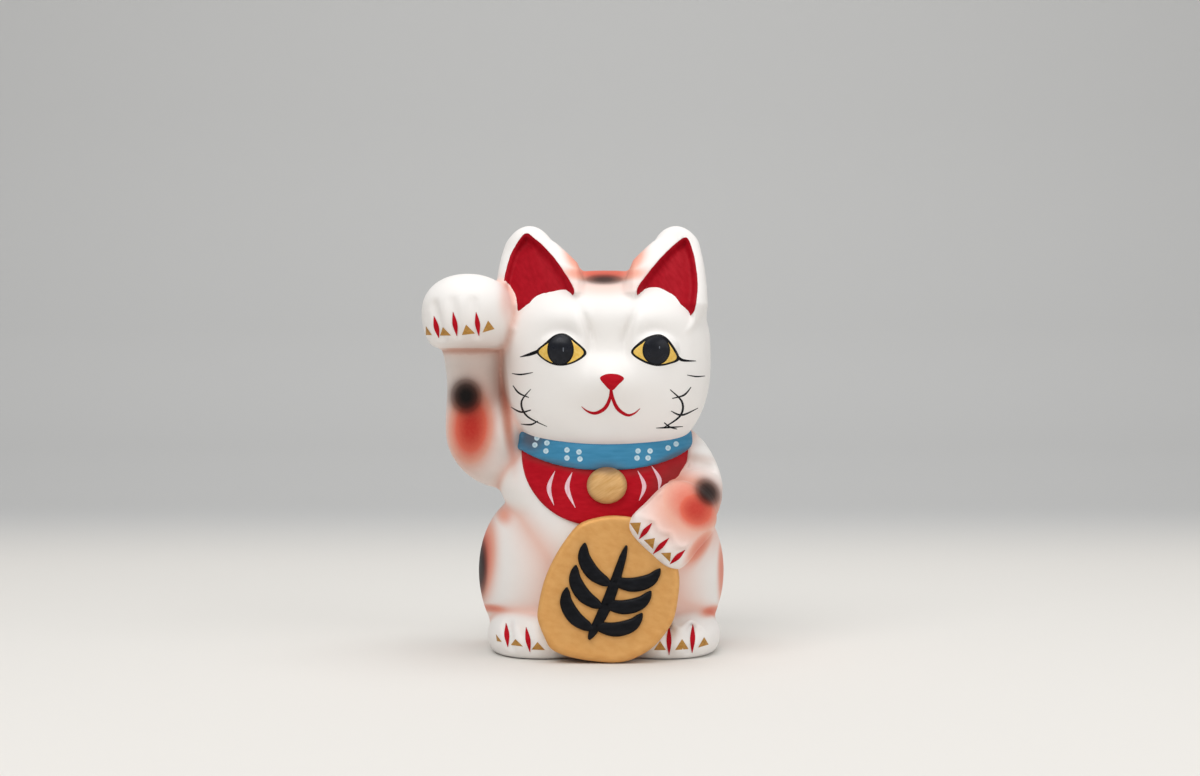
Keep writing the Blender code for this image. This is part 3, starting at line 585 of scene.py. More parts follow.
def mesh_piece(name, points, faces, material, normals=None):
    """A smooth piece from points in millimetres."""
    mesh = bpy.data.meshes.new(name)
    mesh.from_pydata(np.asarray(points, dtype=float) * MM, [], [list(face) for face in faces])
    mesh.shade_smooth()
    if normals is not None:
        mesh.normals_split_custom_set_from_vertices(normals)
    mesh.materials.append(material)
    return put(name, mesh)


def hand_in(piece, slot_name, *nodes):
    """Puts a piece on the cat and hides the nodes that it stands for; its finish is not used."""
    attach(piece, "cat")
    if nodes:
        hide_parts(*nodes)
    return piece


def carry(piece, name, values):
    """Lets a piece carry one number at each of its points, for its material to read."""
    carried = piece.data.attributes.new(name, "FLOAT", "POINT")
    carried.data.foreach_set("value", np.asarray(values, dtype=np.float32))


# Materials

MIX_A, MIX_B, MIX_RESULT = 6, 7, 2  # the colour sockets of a mix node
NOISE_MIDDLE = {"From Min": 0.32, "From Max": 0.68}  # where most of a noise's values lie


def linear(code):
    """A written sRGB hex colour as the linear colour that shaders take."""
    parts = [int(code[i:i + 2], 16) / 255 for i in (1, 3, 5)]
    return (*((p / 12.92 if p <= 0.04045 else ((p + 0.055) / 1.055) ** 2.4) for p in parts), 1)


def add(tree, kind, inputs=None, out=0, **settings):
    """Adds a node and gives one of its outputs. An input is a value, or an output of another node."""
    made = tree.nodes.new("ShaderNode" + kind)
    for key, value in settings.items():
        setattr(made, key, value)
    for key, value in (inputs or {}).items():
        if isinstance(value, bpy.types.NodeSocket):
            tree.links.new(value, made.inputs[key])
        else:
            made.inputs[key].default_value = value
    return made.outputs[out]


def finish_of(name, **sockets):
    """A new material with its shader's plain values set."""
    material = bpy.data.materials.new(name)
    material.use_nodes = True
    shader = material.node_tree.nodes["Principled BSDF"]
    for key, value in sockets.items():
        shader.inputs[key.replace("_", " ")].default_value = value
    return material, material.node_tree, shader


def marks(tree, sizes, lean=0, detail=3):
    """Uneven marks of these sizes in mm along X, Y and Z, leaning in the picture by some degrees."""
    place = add(tree, "TexCoord", out="Object")
    turn, scale = (0, math.radians(lean), 0), [size * MM for size in sizes]
    way = {"Vector": place, "Rotation": turn, "Scale": scale}
    laid = add(tree, "Mapping", way, vector_type="TEXTURE")
    return add(tree, "TexNoise", {"Vector": laid, "Scale": 1.0, "Detail": detail}, "Fac")


def pottery():
    """Earthenware under a brushed white ground of chalk and glue.

    The eye sees a warm white that is almost matt, a little cloudy where the ground lies thicker, with
    airbrushed spots whose edges fade into it. Sprayed colour lets the white through, so each spot is a ramp
    that tints it."""
    name = "whitened_earthenware"
    material, tree, shader = finish_of(name, Roughness=0.52, IOR=1.48, Specular_IOR_Level=0.2)
    cloud = marks(tree, (22, 22, 22))  # brushed patches of two fingers' width
    speck = marks(tree, (1.2, 1.2, 1.2), detail=2)  # spray droplets, drawn coarser than their 0.2 mm
    droplets = add(tree, "MapRange", {"Value": speck, **NOISE_MIDDLE, "To Min": 0.98, "To Max": 1.02})
    whites = {"Factor": cloud, MIX_A: linear("#ece8e4"), MIX_B: linear("#f5f2ef")}
    colour = add(tree, "Mix", whites, MIX_RESULT, data_type="RGBA")
    for name, thin, middling, thick in (
        # painted shade, partly a grey airbrush tint
        ("shade_and_tint_spray", "#e0d0c9", "#c6b0a7", "#a98d83"),
        # pink airbrush in the creases, partly painted crease shade
        ("crease_pink_and_shade", "#f6d3c8", "#eeb5a4", "#e2907c"),
        ("red_spray", "#f6bba9", "#e8715b", "#c8362b"),
        ("black_spray", "#9c9492", "#4e4644", "#0d0909"),
    ):
        amount = add(tree, "Attribute", out="Fac", attribute_name=name)
        share = add(tree, "Math", {0: amount, 1: droplets}, operation="MULTIPLY", use_clamp=True)
        coat = add(tree, "ValToRGB", {"Fac": share})
        stops = coat.node.color_ramp.elements
        stops[0].color = (1, 1, 1, 1)
        stops[1].color = linear(thick)
        for place, code in ((0.3, thin), (0.65, middling)):
            stops.new(place).color = linear(code)
        tinted = {"Factor": 1.0, MIX_A: colour, MIX_B: coat}
        colour = add(tree, "Mix", tinted, MIX_RESULT, data_type="RGBA", blend_type="MULTIPLY")
    sheen = add(tree, "MapRange", {"Value": cloud, **NOISE_MIDDLE, "To Min": 0.46, "To Max": 0.58})
    swell = add(tree, "Bump", {"Height": cloud, "Strength": 0.12, "Distance": 1.0 * MM})
    fine = add(tree, "Bump", {"Height": speck, "Strength": 0.1, "Distance": 0.2 * MM, "Normal": swell})
    for key, output in (("Base Color", colour), ("Roughness", sheen), ("Normal", fine)):
        tree.links.new(output, shader.inputs[key])
    return material


def brushed_paint(
    name, dark, light, roughness, stroke=(5, 5, 1.6), lean=0, metallic=0.0, bump=0.15, gloss=0.1
):
    """Paint laid on with a brush: strokes of two close tones, whose ridges catch a little light.

    The stroke is its length, depth and width in mm. Where a piece carries any, a dull brown darkens it: dust
    from the airbrush, and painted shade along edges, under the collar and round the bell."""
    material, tree, shader = finish_of(name, Roughness=roughness, Metallic=metallic, Specular_IOR_Level=gloss)
    streak = marks(tree, stroke, lean, 4)
    tone = add(tree, "MapRange", {"Value": streak, **NOISE_MIDDLE, "To Min": 0, "To Max": 1})
    clean = {"Factor": tone, MIX_A: linear(dark), MIX_B: linear(light)}
    colour = add(tree, "Mix", clean, MIX_RESULT, data_type="RGBA")
    # dull brown: airbrush dust, and painted shade along edges and under overlapping pieces
    dust_and_shade = add(tree, "Attribute", out="Fac", attribute_name="dust_and_shade")
    dusty_and_shaded = {"Factor": dust_and_shade, MIX_A: colour, MIX_B: linear("#5b463f")}
    colour = add(tree, "Mix", dusty_and_shaded, MIX_RESULT, data_type="RGBA")
    shine = {"Value": streak, **NOISE_MIDDLE, "To Min": roughness + 0.06, "To Max": roughness - 0.06}
    sheen = add(tree, "MapRange", shine)
    ridge = add(tree, "Bump", {"Height": streak, "Strength": bump, "Distance": 0.3 * MM})
    for key, output in (("Base Color", colour), ("Roughness", sheen), ("Normal", ridge)):
        tree.links.new(output, shader.inputs[key])
    return material


CLAY = pottery()
# Poster paint: flat colour, satin, with faint strokes; the ears take a darker copy of the red, as painted
# shade in their hollows
RED = brushed_paint("red_poster_paint", "#ae101f", "#bb1726", 0.55, gloss=0.05)
SHADED_EAR_RED = brushed_paint("red_poster_paint_shaded", "#980b1a", "#a61221", 0.5, lean=60, gloss=0.05)
YELLOW = brushed_paint("yellow_poster_paint", "#e6ba50", "#f0cd74", 0.45, (2, 2, 0.8), 40)
BLUE = brushed_paint("blue_poster_paint", "#3b80a4", "#458bb0", 0.5, (9, 9, 1.4))
# Thinned poster paint: pale touches with a soft edge, thinnest at the middle of each dot
DOT = brushed_paint("pale_blue_paint", "#aecbd8", "#cfe1e8", 0.5, (1.5, 1.5, 1.5))
DOT_MIDDLE = brushed_paint("thin_pale_blue_paint", "#9dbfce", "#b1cdd9", 0.5, (1.5, 1.5, 1.5))
# Painted highlight: the grey glint on each pupil
GLINT = brushed_paint("grey_glint_paint", "#5d626b", "#767b84", 0.4, (1, 1, 1))
PINK_WHITE = brushed_paint("pinkish_white_paint", "#e5b6c0", "#f2d2d8", 0.5, (1.2, 1.2, 4))
# Lacquer: near black with a soft shine, and the pupils a little greyer and shinier
BLACK = brushed_paint("black_lacquer_paint", "#0e0f12", "#191a1e", 0.38)
PUPIL = brushed_paint("slate_lacquer_paint", "#14161c", "#1e2028", 0.3, (3, 3, 3), bump=0.04, gloss=0.2)
# Bronze powder in gum: ochre with a slight metal sheen, in blotches as the powder settles
GOLD = brushed_paint("bronze_powder_paint", "#d69d5b", "#dfa968", 0.42, (5, 5, 3), 20, 0.2, 0.05)
BELL_GOLD = brushed_paint("rubbed_bronze_paint", "#cf9f62", "#dfb47c", 0.42, (6, 6, 0.9), -32, 0.15, 0.12)
CLAW_GOLD = brushed_paint("bronze_claw_paint", "#ad7c3b", "#c29350", 0.45, (2, 2, 1), 0, 0.2)
# Unpainted underside, buff and dry, and the stopper of moulded rubber with a bloom on it
BARE = brushed_paint("bare_fired_clay", "#b49878", "#c8ae90", 0.8, (8, 8, 8), bump=0.3)
RUBBER = brushed_paint("moulded_black_rubber", "#17181a", "#222325", 0.6, (6, 6, 6))


# Airbrushed colour

# Each spot is its place in the picture, half width, half height, lean in degrees, and strength
RED_SPOTS = {
    "raised_forearm": (471, 427, 20, 33, 4, 1.0),
    # red in the crease beside the head, partly painted crease shade
    "arm_beside_head": (508, 425, 5, 38, -8, 0.3),
    "paw_beside_ear": (507, 300, 8, 20, 0, 0.15),
    "under_raised_arm": (503, 515, 8, 10, -30, 0.3),
    "holding_arm": (696, 509.5, 22, 20, 30, 0.95),
    "holding_arm_round_it": (690, 503, 33, 27, 40, 0.58),
    "holding_arm_fading": (684, 512, 46, 32, 30, 0.33),
    "holding_arm_below": (700, 546, 8, 22, 35, 0.5),
    "crown": (604, 273, 36, 8, 0, 0.72),
    "forehead": (604, 286, 44, 10, 0, 0.16),
    "right_ear_slope": (577, 262, 8, 18, -40, 0.42),
    "left_ear_slope": (633, 262, 8, 18, 40, 0.42),
    "right_haunch": (482, 558, 13, 42, 4, 0.66),
    "left_haunch": (722, 570, 4, 36, 0, 0.5),
    "right_ankle": (489, 608, 16, 4, 5, 0.5),
    "left_ankle": (712, 611, 11, 5, -15, 0.5),
}
BLACK_SPOTS = {
    "raised_forearm": (466, 396, 13.5, 15, 0, 1.05),
    "holding_arm": (707.8, 492, 12.8, 9.8, 55, 0.92),
    "right_haunch": (480, 565, 6, 26, 0, 0.95),
    "crown": (604, 279.5, 18, 4.4, 0, 0.7),
}
# Painted shade in greyish brown: beside the head, under the raised paw and above the shoulder fold; on the
# raised forearm and elbow it is partly a grey airbrush tint
SHADE_AND_TINT_SPOTS = {
    "raised_forearm": (480, 372, 40, 40, 0, 0.27),
    "raised_elbow": (486, 466, 34, 30, 0, 0.16),
    "arm_beside_head": (504, 395, 6, 50, -4, 0.5),
    "raised_wrist": (470, 351, 34, 4, 0, 0.5),
    "shoulder_fold": (697, 458, 18, 5, 8, 0.26),
}
# Painted shade along the collar's lower edge, over the bell and under the collar on the bib, with dust at the
# collar's end and on the bib beside the holding arm
COLLAR_DUST_AND_SHADE = {
    "right_end": (532, 439, 13, 12, 0, 0.7),
    "over_bell": (607, 469, 18, 7, 0, 0.5),
    "right_lower_edge": (560, 463, 34, 3, 10, 0.35),
    "left_lower_edge": (672, 457, 26, 3.5, -24, 0.6),
}
BIB_DUST_AND_SHADE = {
    "beside_holding_arm": (672, 478, 26, 16, -40, 0.4),
    "right_under_collar": (556, 464, 40, 4, 14, 0.35),
    "left_under_collar": (650, 468, 30, 4, -14, 0.3),
}
# Painted shade on the bell where the collar overhangs it
BELL_SHADE = {"under_collar": (607, 468, 19, 7, 0, 0.75)}
BELL_MIDDLE = (607, 486)  # in the picture


def spray(points, spots):
    """How much of some airbrushed spots lies on each point."""
    edge = 1.3  # a higher power gives a harder edge
    across, down = in_picture(*points.T)
    total = np.zeros(len(points))
    for px, py, wide, tall, lean, strength in spots.values():
        turn = math.radians(lean)
        u = (across - px) * math.cos(turn) + (down - py) * math.sin(turn)
        v = (down - py) * math.cos(turn) - (across - px) * math.sin(turn)
        total = np.maximum(total, strength * np.exp(-((u / wide) ** 2 + (v / tall) ** 2) ** edge))
    return total


skin_points, skin_faces = cast(clay)
SKIN = surface(skin_points, skin_faces)


def make_skin():
    """One piece for each member, cut from the whole skin where the next member is nearer."""
    normals = smooth_normals(skin_points, skin_faces)
    front = np.clip(0.7 - 2.4 * normals[:, 1], 0, 1)  # the airbrush doesn't reach round to the back
    paints = {
        # pink airbrush in the creases, partly painted shade where members meet
        "crease_pink_and_shade": 0.3 * at_points(creases, skin_points),
        "red_spray": front * spray(skin_points, RED_SPOTS),
        "black_spray": front * spray(skin_points, BLACK_SPOTS),
        # painted shade, partly a grey airbrush tint
        "shade_and_tint_spray": front * spray(skin_points, SHADE_AND_TINT_SPOTS),
    }
    members = (
        ("body_skin", np.minimum(np.minimum(barrel, haunches), feet), ("body_front_half", "body_back_half")),
        ("head_skin", head, ("head_front_half", "head_back_half")),
        ("raised_arm_skin", np.minimum(raised_arm, raised_paw), ("raised_forearm", "raised_paw")),
        ("holding_arm_skin", holding_arm, ("holding_arm",)),
        ("tail_skin", tail, ("tail",)),
    )
    gaps = np.stack([at_points(form, skin_points) for _, form, _ in members])
    owner = gaps[:, skin_faces].mean(axis=2).argmin(axis=0)
    for number, (name, _, nodes) in enumerate(members):
        faces = skin_faces[owner == number]
        used, renumbered = np.unique(faces, return_inverse=True)
        piece = mesh_piece(name, skin_points[used], renumbered.reshape(faces.shape), CLAY, normals[used])
        for paint, amounts in paints.items():
            carry(piece, paint, amounts[used])
        hand_in(piece, "white_pottery", *nodes)


make_skin()


# Collar and bib, which follow the body

# Height above the collar's middle line, and the limit of how far both pieces reach into the body
NECK_DEEP, INTO_CLAY = 42, 3
band = Z - COLLAR_LEVEL - COLLAR_SLOPE * Y - COLLAR_SAG * (1 - (Y / NECK_DEEP) ** 2)
inside_clay = -INTO_CLAY - barrel


def laid_on(name, form, material, slot_name, node, dust_and_shade):
    """A piece from a form, with its dust and painted shade. Gives its surface, for the paint on it."""
    points, faces = cast(form)
    piece = hand_in(mesh_piece(name, points, faces, material), slot_name, node)
    carry(piece, "dust_and_shade", spray(points, dust_and_shade))
    return surface(points, faces)


def make_collar():
    """A flat band with a rolled end."""
    thick, half_tall = 3.5, 5.6
    form = trimmed(barrel - thick, np.abs(band) - half_tall, reach=2.4)
    form = np.maximum(form, inside_clay)
    form = luted(form, drawn(clay, COLLAR_END, radius=1.9, lift=0.6), reach=1.2)
    return laid_on("collar", form, BLUE, "blue_painted_pottery", "collar_band", COLLAR_DUST_AND_SHADE)


def make_bib():
    """A rounded bib that hangs from the collar."""
    thick, middle, half, drop, power = 2.0, 1.1, 40.4, 37.6, 2.3
    plan = out_by(power, (X - middle) / half, (Z - COLLAR_LEVEL) / drop)
    form = trimmed(barrel - thick, true_distance(plan - 1), reach=1.6)
    form = np.maximum(np.maximum(form, inside_clay), np.maximum(Y, band))
    return laid_on("bib", form, RED, "red_painted_pottery", "bib", BIB_DUST_AND_SHADE)


COLLAR = make_collar()
BIB = make_bib()


# Bell and coin

def make_bell():
    """A low dome, a little wider than tall, with painted shade in the corner round its edge and under the
    collar.
    """
    centre, leans = (0.7, -44.5, 78.6), 86
    radius, sunk, brim, rise = 9.2, -6, 0.6, 4.8
    clean_radius, shade_wide = 15, 6  # in pixels
    flatter = Matrix.Diagonal((0.985, 0.9, 1, 1))
    place = Matrix.Translation(centre) @ Matrix.Rotation(math.radians(leans), 4, "X") @ flatter
    profile = [(radius, sunk), (radius, brim)]
    steps, count = 15, 72
    for k in range(1, steps):
        turn = math.pi / 2 * k / steps
        profile.append((0.2 + (radius - 0.2) * math.cos(turn), brim + rise * math.sin(turn)))
    points = [place @ Vector((out * c, out * s, height)) for out, height in profile for c, s in circle(count)]
    bell = mesh_piece("bell", points, closed_tube(len(profile), count), BELL_GOLD)
    hand_in(bell, "gold_painted_pottery", "bell")
    points = np.array(points)
    across, down = in_picture(*points.T)
    from_middle = np.hypot(across - BELL_MIDDLE[0], 1.1 * (down - BELL_MIDDLE[1]))
    # Painted shade in the corner round the bell's edge
    edge_shade = 0.4 * np.clip((from_middle - clean_radius) / shade_wide, 0, 1)
    carry(bell, "dust_and_shade", np.maximum(edge_shade, spray(points, BELL_SHADE)))


make_bell()

COIN_EDGE = (  # in the picture; its upper right is under the paw
    (602, 516.5), (579.7, 523.6), (564.5, 540.8), (551.3, 563), (543, 584), (538, 607), (537.6, 620),
    (544, 637), (552, 650), (572, 658), (602, 662.5), (622, 662.5), (640.5, 656), (656, 645), (670, 627),
    (676, 612), (679.6, 586.5), (678.6, 570), (673, 550), (660, 532), (641, 520), (622, 515.8),
)
# From the coin's back over its rolled edge to the middle of its face: inset from the edge, and depth
COIN_SECTION = (
    (0, 14), (0, 2.4), (0.35, 1.1), (1.1, 0.35), (2.2, 0),
    (3.4, 0.1), (4.6, 0.55), (9, 0.7), (18, 0.7), (26, 0.7),
)
COIN_LIFT = 0.35  # off the table


def coin_outline(count):
    """The coin's edge, from the picture on to the plane of its face, as across and up."""
    back = COIN.inverted()
    eye = back @ EYE
    ring = []
    for px, py in through(COIN_EDGE, count, True):
        run = back.to_3x3() @ sight(px, py)
        spot = eye - run * (eye.y / run.y)
        ring.append((spot.x, spot.z))
    return ring


def make_coin():
    """A thick oval plaque with a rolled edge and a face that dips a little inside it."""
    points = []
    count = 120
    edge = coin_outline(count)
    for inset, deep in COIN_SECTION:
        for across, up in edge:
            drawn_in = 1 - inset / math.hypot(across, up)
            spot = COIN @ Vector((across * drawn_in, deep, up * drawn_in))
            points.append((spot.x, spot.y, max(spot.z, COIN_LIFT)))
    return mesh_piece("coin", points, closed_tube(len(COIN_SECTION), count), GOLD)


def rice_ear():
    """A plain ear of rice: a stem with pairs of leaves. Each row is across, up and half width."""
    strokes = [((0, -23.6, 1.6), (1.6, -4.7, 2.6), (0, 21.2, 1.3))]
    for foot in (-18.9, -8.3, 2.4):
        for side in SIDES:
            low = foot + (1.9 if side > 0 else 0)
            leaf = ((0, 0, 1.9), (8.9, 1.7, 3.2), (15.4, 6.6, 2.9), (17.7, 13, 1.0))
            strokes.append([(side * out, low + up, half) for out, up, half in leaf])
    return strokes


def make_relief(strokes):
    """Strokes of slip piped on the coin, like low loaves with round ends."""
    points, faces = [], []
    steps, count = 22, 14
    high, sunk, loaf = 1.4, 0.3, 0.7
    for stroke in strokes:
        rows = through(stroke, steps)
        faces += closed_tube(steps + 1, count, len(points))
        for k, ((across, up, half), run) in enumerate(zip(rows, runs(rows))):
            half *= min(1, (min(k, steps - k) + 0.3) / 3) ** 0.5
            for c, s in circle(count):
                side = half * math.copysign(abs(c) ** loaf, c)
                rise = high * math.copysign(abs(s) ** loaf, s)
                points.append(COIN @ Vector((across + run.y * side, sunk - rise, up - run.x * side)))
    return mesh_piece("coin_relief", points, faces, BLACK)


hand_in(make_coin(), "gold_painted_pottery", "koban_coin")
hand_in(make_relief(rice_ear()), "gold_painted_pottery")

for name, material in (("base_slab", BARE), ("stopper", RUBBER)):
    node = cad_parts[name]
    node.data.materials.clear()
    node.data.materials.append(material)


# Brushed paint, laid where the camera sees it

def patch(outline, under, lift, spacing):
    """Points and faces of a painted shape on a surface, from its outline in the picture."""
    outline = np.array(outline, dtype=float)
    low, high = outline.min(axis=0), outline.max(axis=0)
    across, down = (np.arange(low[k], high[k], spacing) for k in (0, 1))
    across, down = np.repeat(across, len(down)), np.tile(down, len(across))
    to_edge = np.min([np.hypot(across - px, down - py) for px, py in outline], axis=0)
    clear = (edge_gap(across, down, outline) < 0) & (to_edge > 0.5 * spacing)
    places = [Vector(p) for p in (*outline, *zip(across[clear], down[clear]))]
    flat, _, faces, *_ = delaunay_2d_cdt(places, [], [list(range(len(outline)))], 1, 1e-5)
    points, kept = [], {}
    for number, place in enumerate(flat):
        hit, normal, _, _ = under.ray_cast(EYE, sight(*place))
        if hit is not None:
            kept[number] = len(points)
            points.append(hit + normal * lift)
    return points, [[kept[i] for i in face] for face in faces if all(i in kept for i in face)]


def painted(name, outlines, material, slot_name, under=SKIN, lift=0.07, spacing=1.7):
    """One piece from painted shapes of one colour, with points this many pixels apart."""
    points, faces = [], []
    for outline in outlines:
        spots, cells = patch(outline, under, lift, spacing)
        faces += [[i + len(points) for i in cell] for cell in cells]
        points += spots
    return hand_in(mesh_piece(name, points, faces, material), slot_name)


def brush(points, steps=16):
    """Outline of a brush stroke: each row is a place in the picture and the half width there."""
    rows = through(points, steps)
    left, right = [], []
    for (px, py, half), run in zip(rows, runs(rows)):
        left.append((px - run.y * half, py + run.x * half))
        right.append((px + run.y * half, py - run.x * half))
    return left + right[::-1]


def lens(start, end, half):
    """A stroke that swells between two pointed ends."""
    middle = ((start[0] + end[0]) / 2, (start[1] + end[1]) / 2)
    return brush(((*start, 0.2), (*middle, half), (*end, 0.2)), 12)


def blob(px, py, wide, tall, count=20):
    """An oval, from its middle and half sizes."""
    return [(px + wide * c, py + tall * s) for c, s in circle(count)]


def straight(corners, steps=8):
    """A cornered outline with points along its sides."""
    found = []
    for a, b in zip(corners, corners[1:] + corners[:1]):
        found += [(a[0] + (b[0] - a[0]) * i / steps, a[1] + (b[1] - a[1]) * i / steps) for i in range(steps)]
    return found


# The red lies in the hollows of the ears, so it is laid on the ears alone, where no brow hides its foot
ears_red = [through(EAR_EDGES[side] + RED_FEET[side], EAR_STEPS, True) for side in SIDES]
painted("ear_red", ears_red, SHADED_EAR_RED, "red_painted_pottery", surface(*cast(ears)), lift=0.25, spacing=1.3)

EYE_RIMS = (
    (
        (536.5, 352), (545, 343), (555, 335), (565, 333.8), (575, 340.5),
        (586.5, 352.5), (577, 361.5), (562, 365.8), (548, 362.5),
    ),
    (
        (631, 352), (641, 341), (652, 335.3), (662, 335), (671, 342.5),
        (679.5, 358.5), (670, 364), (656, 366), (641, 361),
    ),
)
EYE_YELLOWS = (
    (
        (539, 352), (548, 343.5), (556, 338.2), (566, 337.3), (575, 343.3),
        (583.5, 352.5), (575, 360.5), (562, 364), (549, 361),
    ),
    (
        (633.5, 352), (643, 343), (652, 337.4), (662, 337), (669, 344),
        (676.5, 357.5), (668, 362.5), (656, 364), (643, 359.5),
    ),
)
# Painted shadow under the upper lids
LID_SHADOW_STROKES = (
    ((541, 347.5, 0.3), (546, 343, 0.6), (552, 338.5, 0.3)),
    ((572, 340, 0.3), (578, 344.5, 0.7), (584, 350, 0.3)),
    ((665, 337.5, 0.3), (670, 343, 0.6), (674.5, 352, 0.3)),
)
PUPILS = ((560.6, 349.7, 13.2, 15.6), (656.2, 350.2, 13.7, 14.6))  # middle and half sizes
# painted highlights on the pupils
GLINTS = ((563.4, 349.6, 0.6, 2.2), (659.3, 347.5, 0.5, 1.4))
PUPIL_RIM = 1.3


def paint_eyes():
    """Black rims, yellow irises, painted shadows under the lids, pupils and painted highlights on them, one
    coat over the other.
    """
    pupils = [blob(px, py, wide - PUPIL_RIM, tall - PUPIL_RIM, 32) for px, py, wide, tall in PUPILS]
    for name, outlines, material, lift, spacing in (
        ("eye_outlines", [through(edge, 48, True) for edge in EYE_RIMS], BLACK, 0.08, 1.1),
        ("eye_irises", [through(edge, 48, True) for edge in EYE_YELLOWS], YELLOW, 0.14, 1.1),
        ("lid_shadow_lines", [brush(row, 10) for row in LID_SHADOW_STROKES], BLACK, 0.19, 1.7),
        ("pupil_rims", [blob(*row, 32) for row in PUPILS], BLACK, 0.22, 1.1),
        ("eye_pupils", pupils, PUPIL, 0.28, 1.1),
        ("eye_glints", [blob(*row, 12) for row in GLINTS], GLINT, 0.33, 1.7),
    ):
        painted(name, outlines, material, "white_pottery", lift=lift, spacing=spacing)


paint_eyes()

EYE_CORNERS = (
    ((541, 350, 1.6), (531, 354, 1.6), (520, 357, 0.3)),
    ((675, 354, 1.6), (682, 360, 1.4), (696, 361, 0.3)),
)
RIGHT_WHISKERS = (  # the one by itself, the line of the cheek, and three across it
    ((512, 373.5, 0.3), (521, 374.5, 0.8), (533, 372.5, 0.3)),
    ((531, 389, 0.3), (521.5, 402, 0.9), (527, 416, 0.9), (547, 426.5, 0.3)),
    ((513, 385.5, 0.4), (519, 393, 0.9), (529, 397.5, 0.4)),
    ((511, 407, 0.3), (521, 412, 0.9), (531, 410, 0.5)),
    ((521, 424, 0.3), (531, 424.5, 0.9), (538, 421, 0.4)),
)
LEFT_WHISKERS = (  # the same, with four
    ((687, 375, 0.3), (696, 376.5, 0.7), (705, 376, 0.3)),
    ((670, 389.5, 0.4), (682, 402, 1.0), (680, 416, 1.0), (663, 428, 0.4)),
    ((691, 387, 0.4), (684, 395, 0.9), (672, 398.5, 0.4)),
    ((671, 411, 0.4), (682, 415, 1.0), (698, 408, 0.3)),
    ((656, 428, 0.3), (667, 427.5, 0.9), (683, 426.5, 0.3)),
    ((664, 422.5, 0.5), (670, 427, 0.8), (677, 429, 0.4)),
)
face_lines = [brush(line) for line in EYE_CORNERS + RIGHT_WHISKERS + LEFT_WHISKERS]
painted("whisker_lines", face_lines, BLACK, "white_pottery")

NOSE_EDGE = (
    (600, 378), (605, 374.6), (611.5, 373.8), (619, 374.8),
    (624, 378.6), (619, 384), (611.5, 390.5), (604, 384),
)
MOUTH_LINES = (
    (
        (611, 389, 1.3), (610, 398, 1.6), (605, 408, 1.8),
        (596, 413, 1.6), (588, 411.5, 1.0), (581.5, 406.5, 0.3),
    ),
    (
        (611, 389, 1.3), (613, 399, 1.6), (618, 409, 1.8),
        (627, 415, 1.4), (634, 413.5, 0.9), (640, 408.5, 0.3),
    ),
)
nose_and_mouth = [through(NOSE_EDGE, 40, True), *(brush(line, 24) for line in MOUTH_LINES)]
painted("nose_and_mouth", nose_and_mouth, RED, "red_painted_pottery", lift=0.09)

slit_lenses = [lens(start, end, 2.6) for slits in TOE_SLITS.values() for start, end in slits]
painted("toe_slits", slit_lenses, RED, "red_painted_pottery", lift=0.2, spacing=1.1)

CLAWS = {
    "raised_paw": (
        [(426, 326), (432, 335), (426, 335)],
        [(443, 327), (451, 335.5), (440, 335.5)],
        [(466, 324.5), (475, 333.5), (462, 335)],
        [(488, 320.5), (494.5, 329), (482.5, 332.5)],
    ),
    "holding_paw": (
        [(630, 523), (641, 522.5), (638, 535)],
        [(644, 540), (655, 538), (653, 549)],
        [(661, 553), (671, 552.5), (670, 562)],
    ),
    "right_foot": (
        [(496, 634), (502, 642), (497, 641)],
        [(515.5, 639), (523, 646.5), (511, 645)],
        [(537.5, 642), (545, 650), (531.5, 649.5)],
    ),
    "left_foot": (
        [(660, 641), (666, 650), (654, 650)],
        [(682, 639), (688.5, 649), (675, 650)],
        [(704, 637), (708.5, 644.5), (698, 647.5)],
    ),
}
claws = [straight(corners) for paw in CLAWS.values() for corners in paw]
painted("claws", claws, CLAW_GOLD, "gold_painted_pottery", lift=0.09)

COLLAR_DOTS = (
    (537, 438), (547, 443), (535, 445), (546, 451), (567, 450), (579, 452), (567, 458), (580, 459),
    (638, 451), (650, 451), (637, 458), (648, 458), (668, 448), (676, 444),
)
dots = [blob(px, py, 2.7, 2.7) for px, py in COLLAR_DOTS]
dot_middles = [blob(px, py, 1.1, 1.1, 12) for px, py in COLLAR_DOTS]
painted("collar_dots", dots, DOT, "blue_painted_pottery", COLLAR)
painted("collar_dot_middles", dot_middles, DOT_MIDDLE, "blue_painted_pottery", COLLAR, lift=0.12)

BIB_CRESCENTS = (
    ((555, 471, 0.2), (549, 488, 2.2), (554, 505.3, 0.2)),
    ((572.2, 472.3, 0.2), (567.2, 488.3, 2.4), (575.4, 507.7, 0.2)),
    ((637.7, 470.8, 0.2), (644.2, 486, 2.1), (639.1, 500.7, 0.2)),
    ((651.5, 465.8, 0.2), (659.3, 479, 2.0), (658.5, 490.5, 0.2)),
)
painted("bib_crescents", [brush(row, 18) for row in BIB_CRESCENTS], PINK_WHITE, "red_painted_pottery", BIB)


# Studio

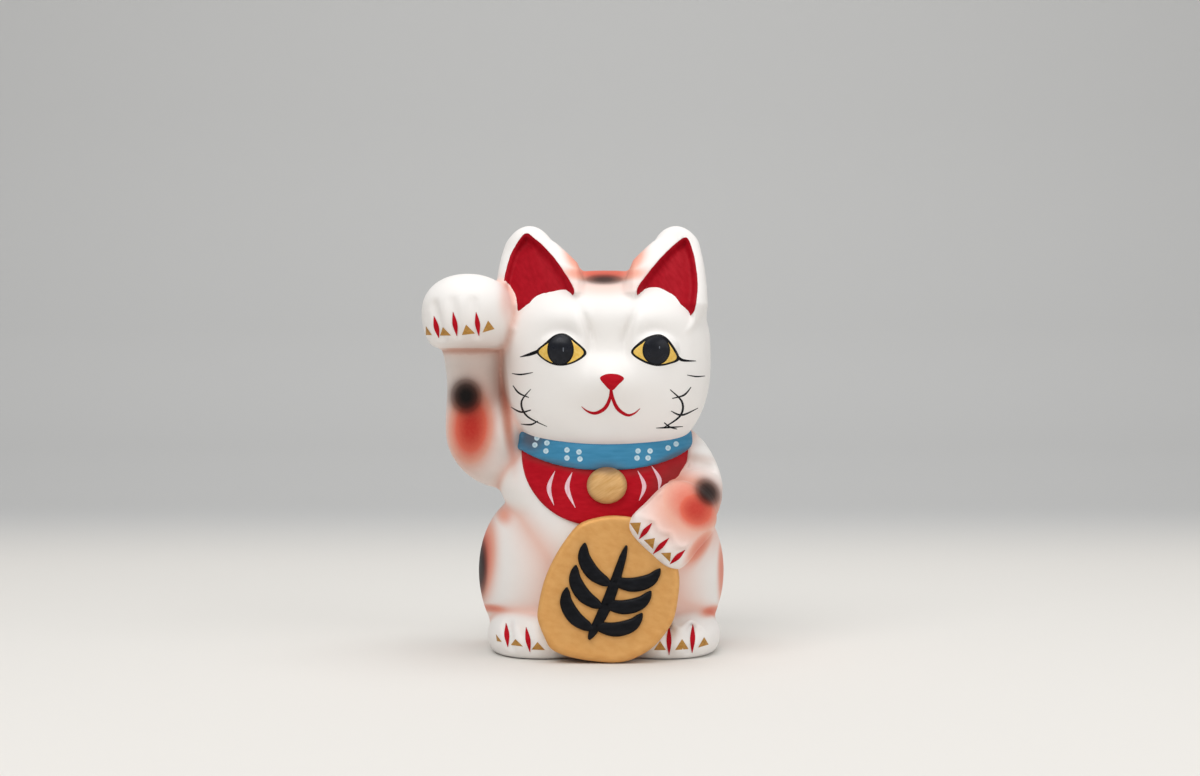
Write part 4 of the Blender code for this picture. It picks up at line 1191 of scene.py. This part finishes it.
SWEEP_HALF = 3500
SWEEP_SECTION = (  # from in front of the cat over the floor and up the backdrop
    (-3000, 0), (200, 0), (600, 0), (1000, 0), (1300, 50),
    (1500, 200), (1600, 500), (1650, 1200), (1650, 3000),
)
LAMPS = (  # name, place and size in metres, and watts
    ("key", (-0.6, -1.1, 1.6), 1.2, 16.3),
    ("fill", (1.2, -0.9, 0.8), 1.2, 6.5),
    ("top", (0.1, 0.1, 1.6), 1.0, 10),
)
LAMPS_AIM = Vector((0, 0, 0.09))
WORLD_STRENGTH = 0.395
SENSOR = 36  # in millimetres


def make_sweep():
    """A sweep of matt paper, pale on the floor and greyer up the backdrop, where the grey is painted shade.
    """
    points = [(x, y, z) for y, z in SWEEP_SECTION for x in (-SWEEP_HALF, SWEEP_HALF)]
    faces = [(2 * k, 2 * k + 1, 2 * k + 3, 2 * k + 2) for k in range(len(SWEEP_SECTION) - 1)]
    material, tree, shader = finish_of("paper_sweep", Roughness=0.9)
    place = add(tree, "TexCoord", out="Object")
    back = add(tree, "SeparateXYZ", {0: place}, out="Y")
    span = {"Value": back, "From Min": 0.35, "From Max": 0.95}  # metres behind the cat
    # painted shade: the paper greys from the floor up the backdrop
    fade = add(tree, "MapRange", span, interpolation_type="SMOOTHSTEP")
    tones = {"Factor": fade, MIX_A: linear("#e2dfda"), MIX_B: linear("#cfcfce")}
    colour = add(tree, "Mix", tones, MIX_RESULT, data_type="RGBA")
    tree.links.new(colour, shader.inputs["Base Color"])
    sweep = mesh_piece("sweep", points, faces, material)


def light_studio():
    """An even white world and three big soft lamps."""
    world = bpy.data.worlds.new("studio")
    bpy.context.scene.world = world
    world.use_nodes = True
    background = world.node_tree.nodes["Background"]
    background.inputs["Color"].default_value = (1, 1, 1, 1)
    background.inputs["Strength"].default_value = WORLD_STRENGTH
    for name, place, size, power in LAMPS:
        lamp = bpy.data.lights.new(name, "AREA")
        lamp.size = size
        lamp.energy = power
        held = put(name, lamp)
        held.location = place
        held.rotation_euler = (LAMPS_AIM - Vector(place)).to_track_quat("-Z", "Y").to_euler()


def set_camera():
    """A level camera at the place that the picture seems to be taken from."""
    camera = bpy.data.cameras.new("camera")
    camera.sensor_width = SENSOR
    camera.lens = SENSOR * FOCAL / PICTURE_WIDTH
    seen = put("camera", camera)
    seen.location = EYE * MM
    seen.rotation_euler = (math.pi / 2, 0, 0)
    bpy.context.scene.camera = seen
    bpy.context.scene.view_settings.view_transform = "Standard"


make_sweep()
light_studio()
set_camera()
